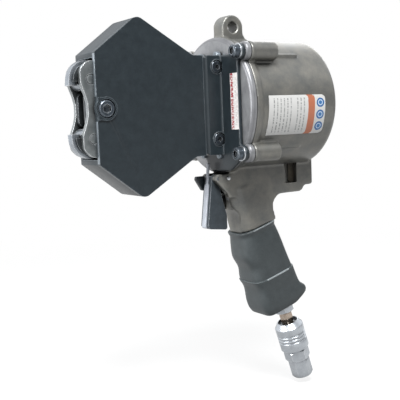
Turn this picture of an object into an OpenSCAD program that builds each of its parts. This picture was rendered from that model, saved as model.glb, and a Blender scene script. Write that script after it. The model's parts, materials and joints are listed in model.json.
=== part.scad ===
// Pistol-grip pneumatic strap sealer: a round air cylinder, a flat hexagonal jaw head in
// front of it, a grip with a trigger below it and a quick coupler on the air inlet.
// +X points to the rear of the tool, -Y to its near side and +Z up.
// Pieces are drawn about the centre of the cylinder's front face, and `placed` then moves
// them so that the origin is the centre of the suspension eye's bore.

/* [Cylinder] */
// Radius of the front cover and of the flange behind it
cover_r = 55.4; // [54:0.1:58]
// Thickness of the front cover
cover_t = 4.5; // [3.5:0.1:5]
// Thickness of the gasket behind the cover
gasket_t = 0.5; // [0.3:0.1:0.8]
// Thickness of the casting's front flange
flange_t = 3.4; // [2.5:0.1:5]
// Height of the flange's rim over the barrel
flange_rim = 2.5; // [2:0.1:3]
// Wall between the barrel's outside and the bore that the piston runs in
barrel_wall = 6.4; // [5.5:0.1:7.5]
// Length of the straight barrel, from the front face
barrel_len = 82; // [80:0.5:90]
// Depth of the domed rear end
dome_len = 17.4; // [16:0.1:22]
// Width of the ledge round the pocket behind the piston
ledge_w = 16; // [14:0.5:19]
// Depth of that pocket
pocket_len = 7.5; // [7:0.1:8.5]

/* [Cover bolts] */
// Distance of the upper pair of bolts outside the cover's rim
bolt_up_out = 3.8; // [3.2:0.1:4.4]
// Angle of the upper pair of bolts above the horizontal
bolt_angle = 43.43; // [42:0.01:45]
// Distance of the lower pair of bolts outside the cover's rim
bolt_low_out = 2.25; // [1.8:0.05:2.8]
// Bolt thread diameter
bolt_d = 6; // [5:0.5:6]
// Diameter of the bolt bosses and ears
boss_d = 15; // [13:0.5:16]
// Length of the cast bosses from the front face
boss_len = 31; // [28:0.5:36]
// Length of the rib that runs out behind each boss
rib_len = 25; // [16:0.5:30]
// Thickness of those ribs
rib_t = 3; // [2:0.1:4]

/* [Suspension eye] */
// Distance of the eye behind the front face
eye_x = 17.1; // [15.5:0.1:19]
// Height of the eye above the cover's rim
eye_rise = 8; // [7:0.1:10]
// Diameter of the eye's bore
eye_bore_d = 9; // [8:0.5:12]
// Outside radius of the eye
eye_r = 10; // [9:0.1:11]
// Width of the eye
eye_w = 14.5; // [10:0.5:16]

/* [Head] */
// Overall thickness of the head
head_w = 35.2; // [34.6:0.1:37]
// Thickness of the cover plates
cover_plate_t = 4; // [3.5:0.1:4.5]
// Thickness of the walls round the head
head_wall_t = 3.2; // [2.5:0.1:4]
// Length of the head from its rear edge to its nose
head_len = 92.7; // [92:0.1:94]
// Half height of the head at its nose
nose_h = 41.6; // [41:0.1:44]
// Distance of the head's points behind the nose
apex_set = 35.9; // [34:0.1:38]
// Half height of the head at its points
apex_h = 69.2; // [67:0.1:72]
// Length of the straight neck at the head's rear
neck_len = 9; // [7:0.1:11]
// Half height of the neck
neck_h = 39.6; // [39:0.1:40.5]
// Radius of the head's rounded points
apex_round = 7; // [4:0.1:10]
// Diameter of the boss round the head screw
screw_boss_d = 17.5; // [16.5:0.1:19]
// Distance of the head screw behind the nose
head_screw_set = 7.4; // [7:0.1:8]

/* [Bracket] */
// Depth of the bracket's box in front of the cover
bracket_d = 16; // [15:0.1:19]
// Depth of the stepped collar in front of the box
collar_d = 3.5; // [2.5:0.1:4]
// Thickness of the bracket's flange plate
bracket_t = 3; // [2.5:0.1:4]
// Distance of the flange plate's edge inside the bolts
bracket_in = 2; // [1:0.1:4]
// Height of the upper side screws
side_screw_up_z = 30.5; // [28:0.1:31]
// Depth of the lower side screws below the centre
side_screw_low_z = 27; // [26:0.1:30]
// Distance of the side screws in front of the cover
side_screw_x = 6.6; // [6.3:0.1:7]

/* [Jaws] */
// Distance of the jaw pivots in front of the head's nose
pivot_out = 1.8; // [1:0.1:2.5]
// Distance of each jaw pivot from the centre line
pivot_h = 22; // [21.8:0.1:23]
// Diameter of the jaw pins
jaw_pin_d = 7; // [6:0.1:7.5]
// Radius that each jaw's tip sweeps about its pivot
jaw_r = 14.6; // [14:0.1:15]
// Thickness of each jaw
jaw_w = 14.2; // [13.8:0.1:14.4]
// Thickness of the hooked tip
tip_t = 5.2; // [4:0.1:6]
// Distance of the tail pin behind the jaw pivot
tail_dx = 34; // [33.5:0.1:34.5]
// Distance of the tail pin above the jaw pivot
tail_dz = 10; // [9.5:0.1:10.5]
// Diameter of the tail pins
tail_pin_d = 6; // [5:0.1:6.2]
// Thickness of each tie plate
tie_t = 4; // [3.5:0.1:4.2]
// Half height of the anvil block
anvil_h = 12.5; // [11:0.1:13]

/* [Linkage] */
// Length of the links between their pin centres
link_len = 48; // [47.5:0.1:48.5]
// Thickness of each link
link_t = 2.8; // [2.4:0.1:2.9]
// Radius of the links' ends
link_end_r = 7; // [6.5:0.1:7.5]
// Room round the tail pin in the link's front eye
tail_room = 1.5; // [1.4:0.05:1.6]
// Diameter of the crosshead pin
crosshead_pin_d = 8; // [7:0.1:9]
// Side clearance between neighbouring moving plates
plate_gap = 0.3; // [0.2:0.05:0.4]

/* [Piston] */
// Length of the piston
piston_len = 14; // [12:0.5:15]
// Diameter of the piston rod
rod_d = 16; // [14:0.5:18]
// Radial running clearance of shafts and pins
run_gap = 0.05; // [0.03:0.01:0.08]
// Outside radius of the rod bush
bush_r = 12; // [11.5:0.1:13]
// Wire diameter of the return spring
spring_wire = 3.6; // [3:0.1:4]
// Mean radius of the return spring
spring_r = 27; // [26:0.5:29]
// Turns in the return spring
spring_turns = 7; // [6:1:8]

/* [Grip] */
// Rake of the grip from the vertical
rake = 17; // [16:0.1:18]
// Distance behind the front face where the grip's axis starts
grip_x = 33; // [32:0.1:34]
// Depth below the cover's rim where the grip's axis starts
grip_drop = 46.7; // [45.6:0.1:47.6]
// Length of the grip sleeve
grip_len = 77.2; // [75:0.1:80]
// Half width of the casting above the grip
housing_half_w = 14.5; // [13.5:0.1:15]
// Distance of the air inlet behind the grip's axis
inlet_t = 7.9; // [7.5:0.1:8.3]
// Diameter of the inlet thread
inlet_d = 13.2; // [12:0.1:14]

/* [Trigger] */
// Distance of the trigger pivot in front of the cover
trigger_x = 5; // [4.8:0.1:5.4]
// Depth of the trigger pivot below the cover's rim
trigger_drop = 4; // [3.6:0.1:4.6]
// Diameter of the trigger pin
trigger_pin_d = 3; // [2.5:0.1:3.2]
// Overall width of the trigger
trigger_w = 11.5; // [11:0.1:11.8]
// Half width of the trigger's finger pad
pad_half_w = 3.4; // [3:0.1:4]
// Half width of the trigger's two cheeks
cheek_half_w = 11; // [10.5:0.1:12]
// Depth of the valve's axis below the cover's rim
valve_drop = 16.6; // [16.1:0.1:17.1]
// Radius of the valve bushing
valve_r = 7; // [6.6:0.1:7.2]
// Radius of the valve stem
stem_r = 4.5; // [4:0.1:4.8]

/* [Coupler] */
// Outside radius of the coupler's sleeve
sleeve_r = 12.6; // [12:0.1:13.2]
// Length of the sleeve
sleeve_len = 26.7; // [26:0.1:28]
// Width across the flats of the coupler's hexagon
body_hex = 19.6; // [18.5:0.1:20.5]
// Length of that hexagon
body_hex_len = 9.6; // [8:0.1:11]
// Width across the flats of the end fitting
end_hex = 16.6; // [16:0.1:18]
// Length of the end fitting
end_len = 16.5; // [14:0.1:20]

/* [Plates] */
// Length of the data plate along the barrel
label_len = 56.4; // [50:0.1:60]
// Distance of the data plate behind the front face
label_x = 17.6; // [15:0.1:20]
// Thickness of the data plates
label_t = 0.3; // [0.2:0.05:0.5]

/* [Hidden] */

round_fn = 96;
small_fn = 40;
eps = 0.05;
// play between fixed pieces that slide together at assembly
fit = 0.1;

// radii, bolts and depths that follow the cover's rim
barrel_r = cover_r - flange_rim;
bore_r = barrel_r - barrel_wall;
pocket_r = bore_r - ledge_w;
bolt_y = (cover_r + bolt_up_out) * cos(bolt_angle);
bolt_up_z = (cover_r + bolt_up_out) * sin(bolt_angle);
bolt_low_z = sqrt(pow(cover_r + bolt_low_out, 2) - bolt_y * bolt_y);
bracket_half_w = bolt_y - bracket_in;
eye_z = cover_r + eye_rise;
trigger_z = cover_r + trigger_drop;
valve_z = cover_r + valve_drop;
grip_z = cover_r + grip_drop;
// stations along the cylinder
cast_x = cover_t + gasket_t;
flange_x = cast_x + flange_t;
bore_end = barrel_len + 2;
pocket_end = bore_end + pocket_len;
function dome_x(t) = barrel_len + dome_len * sin(t);
function dome_r(t) = barrel_r * cos(t);

// stations along the head
half_head = head_w / 2;
inner_half = half_head - cover_plate_t;
head_rear = -(bracket_d + collar_d);
nose_x = head_rear - head_len;
apex_x = nose_x + apex_set;
neck_x = head_rear - neck_len;
head_screw_x = nose_x + head_screw_set;
head_screw_d = 8;
head_screw_head_d = 13.6;
boss_rise = 1.2;
tongue_t = 4;
tongue_h = side_screw_up_z + 4.2;
tongue_end = -bracket_t - 0.4;

// jaws and links
pivot_x = nose_x - pivot_out;
tail_x = pivot_x + tail_dx;
tail_z = pivot_h + tail_dz;
crosshead_x = tail_x + sqrt(link_len * link_len - tail_z * tail_z);
upper_tail_half = 4.1;
upper_link_y = upper_tail_half + plate_gap;
lower_link_y = upper_link_y + link_t + plate_gap;
lower_link_end = lower_link_y + link_t;
tie_y = inner_half - tie_t;
anvil_front = pivot_x - 3.6;
anvil_rear = head_screw_x + 8;
lobe_r = 11.2;
lobe_x = nose_x + 0.9;
lobe_z = pivot_h + 2.6;

// piston
piston_x = bore_end - 1.7 - 0.3 - piston_len;
crosshead_eye = crosshead_pin_d / 2 + 3.6;
rod_front = crosshead_x + crosshead_eye + 1.4;
rod_thread_r = rod_d / 2 - 2;
nut_len = 7;
hub_r = 18;
hub_x = 14;
pilot_r = 14.8;
pilot_len = bracket_t - fit;

// grip
coupler_s = grip_len;
nut_hex = 16.2;
washer_t = 1.6;
inlet_nut_len = 6.6;
neck_hex = 11;
neck_len_s = 6.6;
sleeve_s = coupler_s + washer_t + inlet_nut_len + neck_len_s + 3.6;
hex_s = sleeve_s + sleeve_len + 0.6;
end_s = hex_s + body_hex_len;
ball_s = sleeve_s + 5.2;
ball_r = 1.9;
ball_ring_r = 6.6;
clip_s = hex_s - 0.6 - 12.4;
core_s = 48;
core_r = 10.4;

// valve
valve_front = 12;
bushing_len = 28;
chamber_end = 50;
exhaust_x = 69.25;
seal_w = 4;
seal_x = piston_x + piston_len / 2 - seal_w / 2;
dowel_x = 4;
dowel_r = 1.6;
air_way_x = 86.6;
air_way_z = -valve_z + 8;
stem_tip_x = -trigger_x - 3.75;

// ---------- helpers ----------
function unit(v) = v / norm(v);
// points of one rounded corner at b, between a and c
function corner(a, b, c, r, n) =
  let (u = unit(a - b), v = unit(c - b), half = acos(u * v) / 2,
       m = b + unit(u + v) * r / sin(half), p = b + u * r / tan(half) - m,
       q = b + v * r / tan(half) - m, s = atan2(p[1], p[0]),
       raw = atan2(q[1], q[0]) - s,
       turn = raw > 180 ? raw - 360 : raw < -180 ? raw + 360 : raw)
  r < 0.01 ? [b] : [for (i = [0:n]) m + r * [cos(s + turn * i / n), sin(s + turn * i / n)]];
// a closed outline whose corners [x, y, radius] are rounded
function rounded(pts, n = 6) =
  let (k = len(pts))
  [for (i = [0:k - 1])
    let (a = pts[(i + k - 1) % k], b = pts[i], c = pts[(i + 1) % k])
    each corner([a[0], a[1]], [b[0], b[1]], [c[0], c[1]], b[2], n)];

module placed() { translate([-eye_x, 0, -eye_z]) children(); }
// a shape drawn in X and Z, standing between y0 and y1
module slab(y0, y1) { translate([0, y1, 0]) rotate([90, 0, 0]) linear_extrude(y1 - y0) children(); }
module rod_x(x0, x1, r, fn = round_fn) {
  translate([x0, 0, 0]) rotate([0, 90, 0]) cylinder(h = x1 - x0, r = r, $fn = fn);
}
module rod_y(x, z, half, r, fn = small_fn) {
  translate([x, half, z]) rotate([90, 0, 0]) cylinder(h = 2 * half, r = r, $fn = fn);
}
// a profile of [x, radius] points turned about the cylinder's axis
module turned_x(pts) {
  rotate([0, 90, 0]) rotate_extrude($fn = round_fn) polygon([for (p = pts) [p[1], p[0]]]);
}
// both sides of the centre plane, and both heights
module both_sides() { children(); mirror([0, 1, 0]) children(); }
module at_bolts() {
  for (side = [-1, 1], z = [bolt_up_z, -bolt_low_z]) translate([0, side * bolt_y, z]) children();
}
module at_side_screws() {
  for (side = [0, 1], z = [side_screw_up_z, -side_screw_low_z])
    mirror([0, side, 0]) translate([-side_screw_x, -half_head, z]) rotate([-90, 0, 0]) children();
}
// the grip's own frame: X to the rear across it, -Z down along its rake
module grip_frame() { translate([grip_x, 0, -grip_z]) rotate([0, -rake, 0]) children(); }
module on_inlet(s) { grip_frame() translate([inlet_t, 0, -s]) children(); }
// a hexagon bar hanging down from its top face
module hex_bar(af, h, r) {
  translate([0, 0, -h]) difference() {
    cylinder(h = h, r = af / 2 / cos(30), $fn = 6);
    if (r > 0) translate([0, 0, -1]) cylinder(h = h + 2, r = r, $fn = small_fn);
  }
}
// a wire wound about X from x0 to x1 with flat-lying end turns
module coil_x(x0, x1, mean_r, wire_r, turns, steps = 10, sides = 6) {
  n = turns * steps;
  rise = x1 - x0 - 2 * wire_r;
  points = [for (i = [0:n], j = [0:sides - 1])
    let (a = 360 * i / steps, b = 360 * j / sides, r = mean_r + wire_r * cos(b))
    [x0 + wire_r + rise * i / n + wire_r * sin(b), r * cos(a), r * sin(a)]];
  walls = [for (i = [0:n - 1], j = [0:sides - 1])
    let (p = i * sides + j, q = i * sides + (j + 1) % sides)
    each [[p, p + sides, q + sides], [p, q + sides, q]]];
  first = [for (j = [1:sides - 2]) [0, j, j + 1]];
  last = [for (j = [1:sides - 2]) [n * sides, n * sides + j + 1, n * sides + j]];
  polyhedron(points, concat(walls, first, last));
}

// ---------- cylinder ----------
module ears(x0, x1) {
  difference() {
    at_bolts() rod_x(x0, x1, boss_d / 2, small_fn);
    rod_x(x0 - 1, x1 + 1, cover_r - 1);
  }
}
module bolt_holes(x0, x1) { at_bolts() rod_x(x0, x1, bolt_d / 2 + fit, small_fn); }

module housing_outline() {
  back_z = -grip_z + (49.5 - grip_x) * tan(rake);
  front_z = -grip_z + (16.4 - grip_x) * tan(rake);
  // distances below the cover's rim
  low = [for (p = [[-9.2, 3.5, 2.2], [-2.4, 10.8, 6], [3.4, 17, 6], [6.4, 25.1, 6], [15.4, 35.6, 10]])
    [p[0], -cover_r - p[1], p[2]]];
  rear = [for (p = [[47, 33.1, 8], [46.2, 22.1, 9.5], [60, 20.5, 6], [77, 20.2, 5], [81.5, 15, 2],
    [89.4, 15, 1.8], [89.8, -11.4, 0]]) [p[0], -cover_r - p[1], p[2]]];
  polygon(rounded(concat([[8.6, 11.4 - cover_r, 0], [8.6, -cover_r - 0.4, 0],
    [-5.4, -cover_r - 0.4, 1.6]], low, [[16.4, front_z, 0], [49.5, back_z, 0]], rear)));
}
module casting_solid() {
  // barrel with its domed end
  turned_x(concat([[cast_x, 0], [cast_x, cover_r], [flange_x, cover_r], [flange_x, barrel_r]],
    [for (i = [0:16]) let (t = i * 90 / 16) [dome_x(t), dome_r(t)]]));
  // bolt bosses and the ribs behind them
  at_bolts() rod_x(cast_x, boss_len, boss_d / 2, small_fn);
  for (side = [0, 1], z = [bolt_up_z - rib_t - 1.3, -bolt_low_z + 1.5]) mirror([0, side, 0])
    translate([boss_len - 1, -bolt_y, z]) cube([rib_len + 1, 14, rib_t]);
  // suspension eye
  rod_y(eye_x, eye_z, eye_w / 2, eye_r, round_fn);
  slab(-eye_w / 2, eye_w / 2)
    polygon([[eye_x - eye_r, bore_r - 1.5], [eye_x - eye_r, eye_z], [eye_x + eye_r, eye_z],
      [eye_x + eye_r, barrel_r + 5.5], [eye_x + eye_r + 2, barrel_r + 2],
      [eye_x + eye_r + 6, barrel_r - 0.4], [eye_x + eye_r + 6, bore_r - 1.5]]);
  // trigger and valve housing with the upper grip
  intersection() {
    slab(-housing_half_w, housing_half_w) housing_outline();
    union() {
      translate([8, -housing_half_w, -cover_r - 34.6]) cube([84, 2 * housing_half_w, 60]);
      translate([-14, -cheek_half_w, -cover_r - 24.6]) cube([30, 2 * cheek_half_w, 40]);
      translate([0, 0, -cover_r - 64.6]) linear_extrude(60)
        polygon(rounded([[7, -housing_half_w, 9], [55, -housing_half_w, 9],
          [55, housing_half_w, 9], [7, housing_half_w, 9]], 8));
    }
  }
  // core that carries the grip sleeve and the air inlet
  grip_frame() {
    translate([-11, -9.5, -core_s - 2]) cube([27, 19, core_s + 8]);
    translate([inlet_t, 0, -grip_len]) cylinder(h = grip_len - core_s + 10, r = core_r, $fn = round_fn);
  }
}
module casting_cuts() {
  rod_x(cast_x - 1, bore_end, bore_r);
  rod_x(bore_end - 1, pocket_end, pocket_r);
  at_bolts() rod_x(cast_x - 1, boss_len - 7, bolt_d / 2 + fit, small_fn);
  rod_y(eye_x, eye_z, eye_w, eye_bore_d / 2, round_fn);
  // slot for the trigger between its cheeks
  translate([-14, -trigger_w / 2 - 0.35, -cover_r - 36.6]) cube([26, trigger_w + 0.7, 36.6]);
  rod_y(-trigger_x, -trigger_z, cheek_half_w + 1, trigger_pin_d / 2);
  rod_y(dowel_x, -trigger_z, cheek_half_w + 1, dowel_r);
  // valve chamber, air ways and inlet
  translate([0, 0, -valve_z]) rod_x(valve_front - 4, chamber_end, valve_r, small_fn);
  translate([0, 0, air_way_z]) rod_x(valve_front + 18, air_way_x, 3, small_fn);
  translate([air_way_x, 0, air_way_z - 3])
    cylinder(h = 5 - air_way_z - pocket_r, r = 1.9, $fn = small_fn);
  on_inlet(grip_len + 1) cylinder(h = 18, r = inlet_d / 2, $fn = small_fn);
  on_inlet(grip_len) cylinder(h = grip_len + 22, r = 4.6, $fn = small_fn);
  // exhaust recess on the near side
  slab(-housing_half_w - 1, -housing_half_w + 5) exhaust_shape();
  translate([exhaust_x, -housing_half_w + 4, air_way_z]) rotate([-90, 0, 0])
    cylinder(h = housing_half_w - 3, r = 2, $fn = small_fn);
}
module exhaust_shape() {
  translate([exhaust_x, -cover_r - 2.8])
    polygon(rounded([[-3.25, -9.4, 2.6], [3.25, -9.4, 2.6], [3.25, 9.4, 2.6], [-3.25, 9.4, 2.6]]));
}
module main_casting() { placed() color("#77756f") difference() { casting_solid(); casting_cuts(); } }

module front_cover() {
  placed() color("#8f8f96") difference() {
    union() {
      rod_x(0, cover_t, cover_r);
      ears(0, cover_t);
      rod_x(cover_t - 1, hub_x, hub_r);
      rod_x(-pilot_len, 1, pilot_r);
    }
    rod_x(-pilot_len - 1, hub_x + 1, bush_r);
    bolt_holes(-1, cover_t + 1);
  }
}
module cover_gasket() {
  placed() color("#2c2c2e") difference() {
    union() { rod_x(cover_t, cast_x, cover_r - 0.2); ears(cover_t, cast_x); }
    rod_x(cover_t - 1, cast_x + 1, bore_r);
    bolt_holes(cover_t - 1, cast_x + 1);
  }
}
module cover_bolts() {
  placed() color("#3a3f43") at_bolts() difference() {
    union() {
      rod_x(-bracket_t - 1.2 - bolt_d, -bracket_t - 1.2, bolt_d * 0.83, small_fn);
      rod_x(-bracket_t - 1.2 - eps, boss_len - 8, bolt_d / 2, small_fn);
    }
    translate([-bracket_t - 2.2 - bolt_d, 0, 0]) rotate([0, 90, 0])
      cylinder(h = 4.2, r = bolt_d * 0.48, $fn = 6);
  }
}
module bolt_washers() {
  placed() color("#c8ccd2") at_bolts() difference() {
    rod_x(-bracket_t - 1.2, -bracket_t, bolt_d, small_fn);
    rod_x(-bracket_t - 2, 0, bolt_d / 2 + fit, small_fn);
  }
}
module rod_bush() {
  placed() color("#a9803f") difference() {
    rod_x(-pilot_len, hub_x, bush_r);
    rod_x(-pilot_len - 1, hub_x + 1, rod_d / 2 + run_gap);
    rod_x(3, 7, rod_d / 2 + 2.2);
  }
}
module rod_seal() {
  placed() color("#1d1d1f") difference() {
    rod_x(3.1, 6.9, rod_d / 2 + 2.1);
    rod_x(3, 7, rod_d / 2 + run_gap);
  }
}
module rear_bumper() {
  placed() color("#1d1d1f") difference() {
    rod_x(bore_end - 1.7, bore_end, bore_r - 3);
    rod_x(bore_end - 3, bore_end + 1, pocket_r + 1.5);
  }
}
module return_spring() {
  placed() color("#8d9096")
    coil_x(cover_t, piston_x, spring_r, spring_wire / 2, spring_turns, 12);
}

// ---------- piston and crosshead ----------
module piston() {
  placed() color("#a3a5a8") difference() {
    rod_x(piston_x, piston_x + piston_len, bore_r - 0.4);
    rod_x(piston_x - 1, piston_x + piston_len + 1, rod_thread_r);
    difference() {
      rod_x(seal_x, seal_x + seal_w, bore_r + 1);
      rod_x(seal_x - 1, seal_x + seal_w + 1, bore_r - seal_w);
    }
  }
}
module piston_seal() {
  placed() color("#1d1d1f") difference() {
    rod_x(seal_x, seal_x + seal_w, bore_r - run_gap);
    rod_x(seal_x - 1, seal_x + seal_w + 1, bore_r - seal_w);
  }
}
module piston_rod() {
  placed() color("#c9ccd0") {
    rod_x(rod_front, piston_x, rod_d / 2);
    rod_x(piston_x - 1, piston_x + piston_len + nut_len, rod_thread_r);
  }
}
module piston_nut() {
  placed() color("#8d9096") translate([piston_x + piston_len, 0, 0]) rotate([0, 90, 0]) difference() {
    cylinder(h = nut_len - 1, r = 11, $fn = 6);
    translate([0, 0, -1]) cylinder(h = nut_len + 2, r = rod_thread_r, $fn = small_fn);
  }
}
module crosshead() {
  eye = crosshead_eye;
  placed() color("#9a9da1") difference() {
    union() {
      rod_y(crosshead_x, 0, upper_tail_half, eye, round_fn);
      translate([crosshead_x, -upper_tail_half, -eye]) cube([eye + 1.5, 2 * upper_tail_half, 2 * eye]);
      rod_x(crosshead_x + eye + 0.6, crosshead_x + eye + 6.6, 10.6);
    }
    rod_x(rod_front, crosshead_x + 40, rod_d / 2);
    rod_y(crosshead_x, 0, inner_half, crosshead_pin_d / 2);
  }
}
module crosshead_pin() {
  placed() color("#c9ccd0") rod_y(crosshead_x, 0, lower_link_end + 0.5, crosshead_pin_d / 2);
}

// ---------- head ----------
function hex_edge(inset) =
  let (d = inset)
  [[nose_x, nose_h - d * 1.26, 0], [apex_x, apex_h - d * 1.21, max(apex_round - d, 1)],
   [neck_x, neck_h - d, 4], [head_rear, neck_h - d, 0]];
function flip(pts) = [for (i = [len(pts) - 1:-1:0]) [pts[i][0], -pts[i][1], pts[i][2]]];
module head_outline(inset = 0) { polygon(rounded(concat(hex_edge(inset), flip(hex_edge(inset))))); }

module near_cover_plate() {
  placed() color("#363d40") difference() {
    union() {
      slab(-half_head, -inner_half) head_outline();
      translate([0, -half_head / 2 - inner_half / 2 - boss_rise / 2, 0])
        rod_y(head_screw_x, 0, (cover_plate_t + boss_rise) / 2, screw_boss_d / 2, round_fn);
      translate([neck_x, -inner_half, -tongue_h]) cube([tongue_end - neck_x, tongue_t, 2 * tongue_h]);
    }
    rod_y(head_screw_x, 0, half_head + 3, head_screw_d / 2 + fit, round_fn);
    translate([0, -half_head - 1, 0]) rod_y(head_screw_x, 0, 3, head_screw_head_d / 2 + 0.4, round_fn);
    at_side_screws() cylinder(h = 20, r = 2.5 + fit, $fn = small_fn);
  }
}
module far_housing() {
  placed() color("#363d40") difference() {
    union() {
      slab(inner_half, half_head) head_outline();
      difference() {
        slab(-inner_half, inner_half + eps) head_outline();
        slab(-inner_half - 1, inner_half + 1) {
          head_outline(head_wall_t);
          polygon([[nose_x - 5, -nose_h + head_wall_t * 1.26], [nose_x - 5, nose_h - head_wall_t * 1.26],
            [nose_x + 5, nose_h - head_wall_t * 1.26], [nose_x + 5, -nose_h + head_wall_t * 1.26]]);
          polygon([[head_rear - 2, -neck_h + head_wall_t], [head_rear - 2, neck_h - head_wall_t],
            [head_rear + 2, neck_h - head_wall_t], [head_rear + 2, -neck_h + head_wall_t]]);
        }
      }
      translate([0, half_head / 2 + inner_half / 2 + boss_rise / 2, 0])
        rod_y(head_screw_x, 0, (cover_plate_t + boss_rise) / 2, screw_boss_d / 2, round_fn);
      translate([neck_x, inner_half - tongue_t, -tongue_h])
        cube([tongue_end - neck_x, tongue_t, 2 * tongue_h]);
    }
    rod_y(head_screw_x, 0, half_head + 3, head_screw_d / 2 + fit, round_fn);
    at_side_screws() cylinder(h = 20, r = 2.5 + fit, $fn = small_fn);
  }
}
module head_screw() {
  seat = -half_head + 2;
  placed() color("#8d9096") difference() {
    union() {
      translate([head_screw_x, seat - 3.6, 0]) rotate([-90, 0, 0])
        cylinder(h = 3.6, r = head_screw_head_d / 2, $fn = round_fn);
      translate([head_screw_x, seat - eps, 0]) rotate([-90, 0, 0])
        cylinder(h = half_head - seat, r = head_screw_d / 2, $fn = small_fn);
    }
    translate([head_screw_x, seat - 4.6, 0]) rotate([-90, 0, 0]) cylinder(h = 3.6, r = 3.5, $fn = 6);
  }
}
module side_screws() {
  placed() color("#3a3f43") at_side_screws() difference() {
    union() {
      translate([0, 0, 0.8]) cylinder(h = 1.6, r = 4.6, $fn = small_fn);
      translate([0, 0, 2.3]) cylinder(h = 5, r = 2.5, $fn = small_fn);
    }
    translate([0, 0, -1]) cylinder(h = 2.9, r = 1.8, $fn = 6);
  }
}
module head_bracket() {
  box_h = neck_h;
  placed() color("#3b4144") difference() {
    union() {
      // box that takes the head's tongues, and the stepped collar in front of it
      translate([-bracket_d, -half_head, -box_h]) cube([bracket_d, 2 * half_head, 2 * box_h]);
      translate([head_rear + 0.2, -half_head + 1, -box_h + 1])
        cube([collar_d + 1, 2 * half_head - 2, 2 * box_h - 2]);
      // flange plate with its ears and its lower lobe
      translate([-bracket_t, -bracket_half_w, -neck_h]) cube([bracket_t, 2 * bracket_half_w, 2 * neck_h]);
      at_bolts() rod_x(-bracket_t, 0, boss_d / 2 - 0.6, small_fn);
      rotate([0, 90, 0]) mirror([0, 0, 1]) linear_extrude(bracket_t) rotate([0, 0, 90])
        polygon(rounded([[-bolt_y + 3, -bolt_low_z - 5, 4], [-26, 3 - cover_r, 12],
          [4, 1.8 - cover_r, 9], [11.5, 13.4 - cover_r, 5], [11.5, 25.4 - cover_r, 0],
          [-bracket_half_w, 25.4 - cover_r, 0]]));
    }
    // inside of the box, with a floor under the head's tongues
    translate([head_rear - 1, -inner_half - fit, -tongue_h - fit])
      cube([-head_rear + 1 - bracket_t, 2 * (inner_half + fit), 2 * (tongue_h + fit)]);
    rod_x(-bracket_d, 1, pilot_r + fit);
    at_side_screws() {
      translate([0, 0, -1]) cylinder(h = 3.4, r = 5, $fn = small_fn);
      cylinder(h = 8, r = 2.5 + fit, $fn = small_fn);
    }
    bolt_holes(-bracket_t - 1, 1);
  }
}

module tie_outline() {
  waist = anvil_front;
  polygon(rounded([[waist, 4, 12], [waist - 1.4, 10, 10], [lobe_x - lobe_r, lobe_z - 5, 7],
    [lobe_x - lobe_r, lobe_z + 5, 6], [lobe_x - 5, lobe_z + lobe_r, 8], [lobe_x + 6, lobe_z + lobe_r, 6],
    [anvil_rear, lobe_z + 2, 5], [anvil_rear, -lobe_z - 2, 5], [lobe_x + 6, -lobe_z - lobe_r, 6],
    [lobe_x - 5, -lobe_z - lobe_r, 8], [lobe_x - lobe_r, -lobe_z - 5, 6],
    [lobe_x - lobe_r, -lobe_z + 5, 7], [waist - 1.4, -10, 10], [waist, -4, 12]]));
}
module tie_plate() {
  difference() {
    slab(-inner_half, -tie_y) tie_outline();
    for (up = [-1, 1]) rod_y(pivot_x, up * pivot_h, inner_half + 1, jaw_pin_d / 2);
    rod_y(head_screw_x, 0, inner_half + 1, head_screw_d / 2 + fit);
  }
}
module near_tie_plate() { placed() color("#9c9f9d") tie_plate(); }
module far_tie_plate() { placed() color("#9c9f9d") mirror([0, 1, 0]) tie_plate(); }
module anvil_block() {
  slot = 4.9;
  placed() color("#8a8d8c") difference() {
    slab(-tie_y, tie_y) polygon([[anvil_front, -anvil_h + 3], [anvil_front + 2, -anvil_h],
      [anvil_rear - 1, -anvil_h], [anvil_rear - 1, anvil_h], [anvil_front + 2, anvil_h],
      [anvil_front, anvil_h - 3]]);
    translate([anvil_front - 1, -slot, -anvil_h - 1]) cube([8, 2 * slot, 2 * anvil_h + 2]);
    rod_y(head_screw_x, 0, tie_y + 1, head_screw_d / 2 + fit);
  }
}
module jaw_pins() {
  placed() color("#c9ccd0") for (up = [-1, 1]) rod_y(pivot_x, up * pivot_h, inner_half, jaw_pin_d / 2);
}

// ---------- jaws: the upper one, drawn about its own pivot ----------
module jaw_tip(r, drop) {
  // hooked nose: a ring sector in front of the pivot, cut flat at the tip
  intersection() {
    difference() { circle(r = r, $fn = round_fn); circle(r = r - tip_t, $fn = round_fn); }
    polygon([[-20, -drop], [-20, 20], [4, 20], [4, 0], [-2, -drop]]);
  }
}
module jaw_side(r, drop, boss) {
  jaw_tip(r, drop);
  circle(r = boss, $fn = round_fn);
  intersection() { circle(r = r, $fn = round_fn); polygon([[0, 0], [-14, 6], [-14, 20], [10, 20], [12, 0]]); }
}
module jaw_arm() {
  // arm from the pivot to the tail pin
  a = atan2(tail_dz, tail_dx);
  rotate([0, 0, a]) translate([0, -6.2]) square([norm([tail_dx, tail_dz]), 12.4]);
  translate([tail_dx, tail_dz]) circle(r = link_end_r, $fn = round_fn);
}
module jaw_base(tail_half) {
  translate([pivot_x, 0, pivot_h]) difference() {
    union() {
      slab(-jaw_w / 2, jaw_w / 2) jaw_side(jaw_r, 4.1, 8.2);
      slab(-tail_half, tail_half) jaw_arm();
    }
    rod_y(0, 0, jaw_w, jaw_pin_d / 2 + run_gap);
    rod_y(tail_dx, tail_dz, jaw_w, tail_pin_d / 2);
  }
}
module notchers() {
  translate([pivot_x, 0, pivot_h]) both_sides() difference() {
    slab(jaw_w / 2, tie_y - plate_gap) jaw_side(jaw_r - 2.4, 1.2, 8.2);
    rod_y(0, 0, jaw_w, jaw_pin_d / 2 + run_gap);
  }
}
module upper_jaw() { placed() color("#b3b6b8") jaw_base(upper_tail_half); }
module lower_jaw() { placed() color("#b3b6b8") mirror([0, 0, 1]) jaw_base(jaw_w / 2); }
module upper_notchers() { placed() color("#8f9294") notchers(); }
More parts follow.
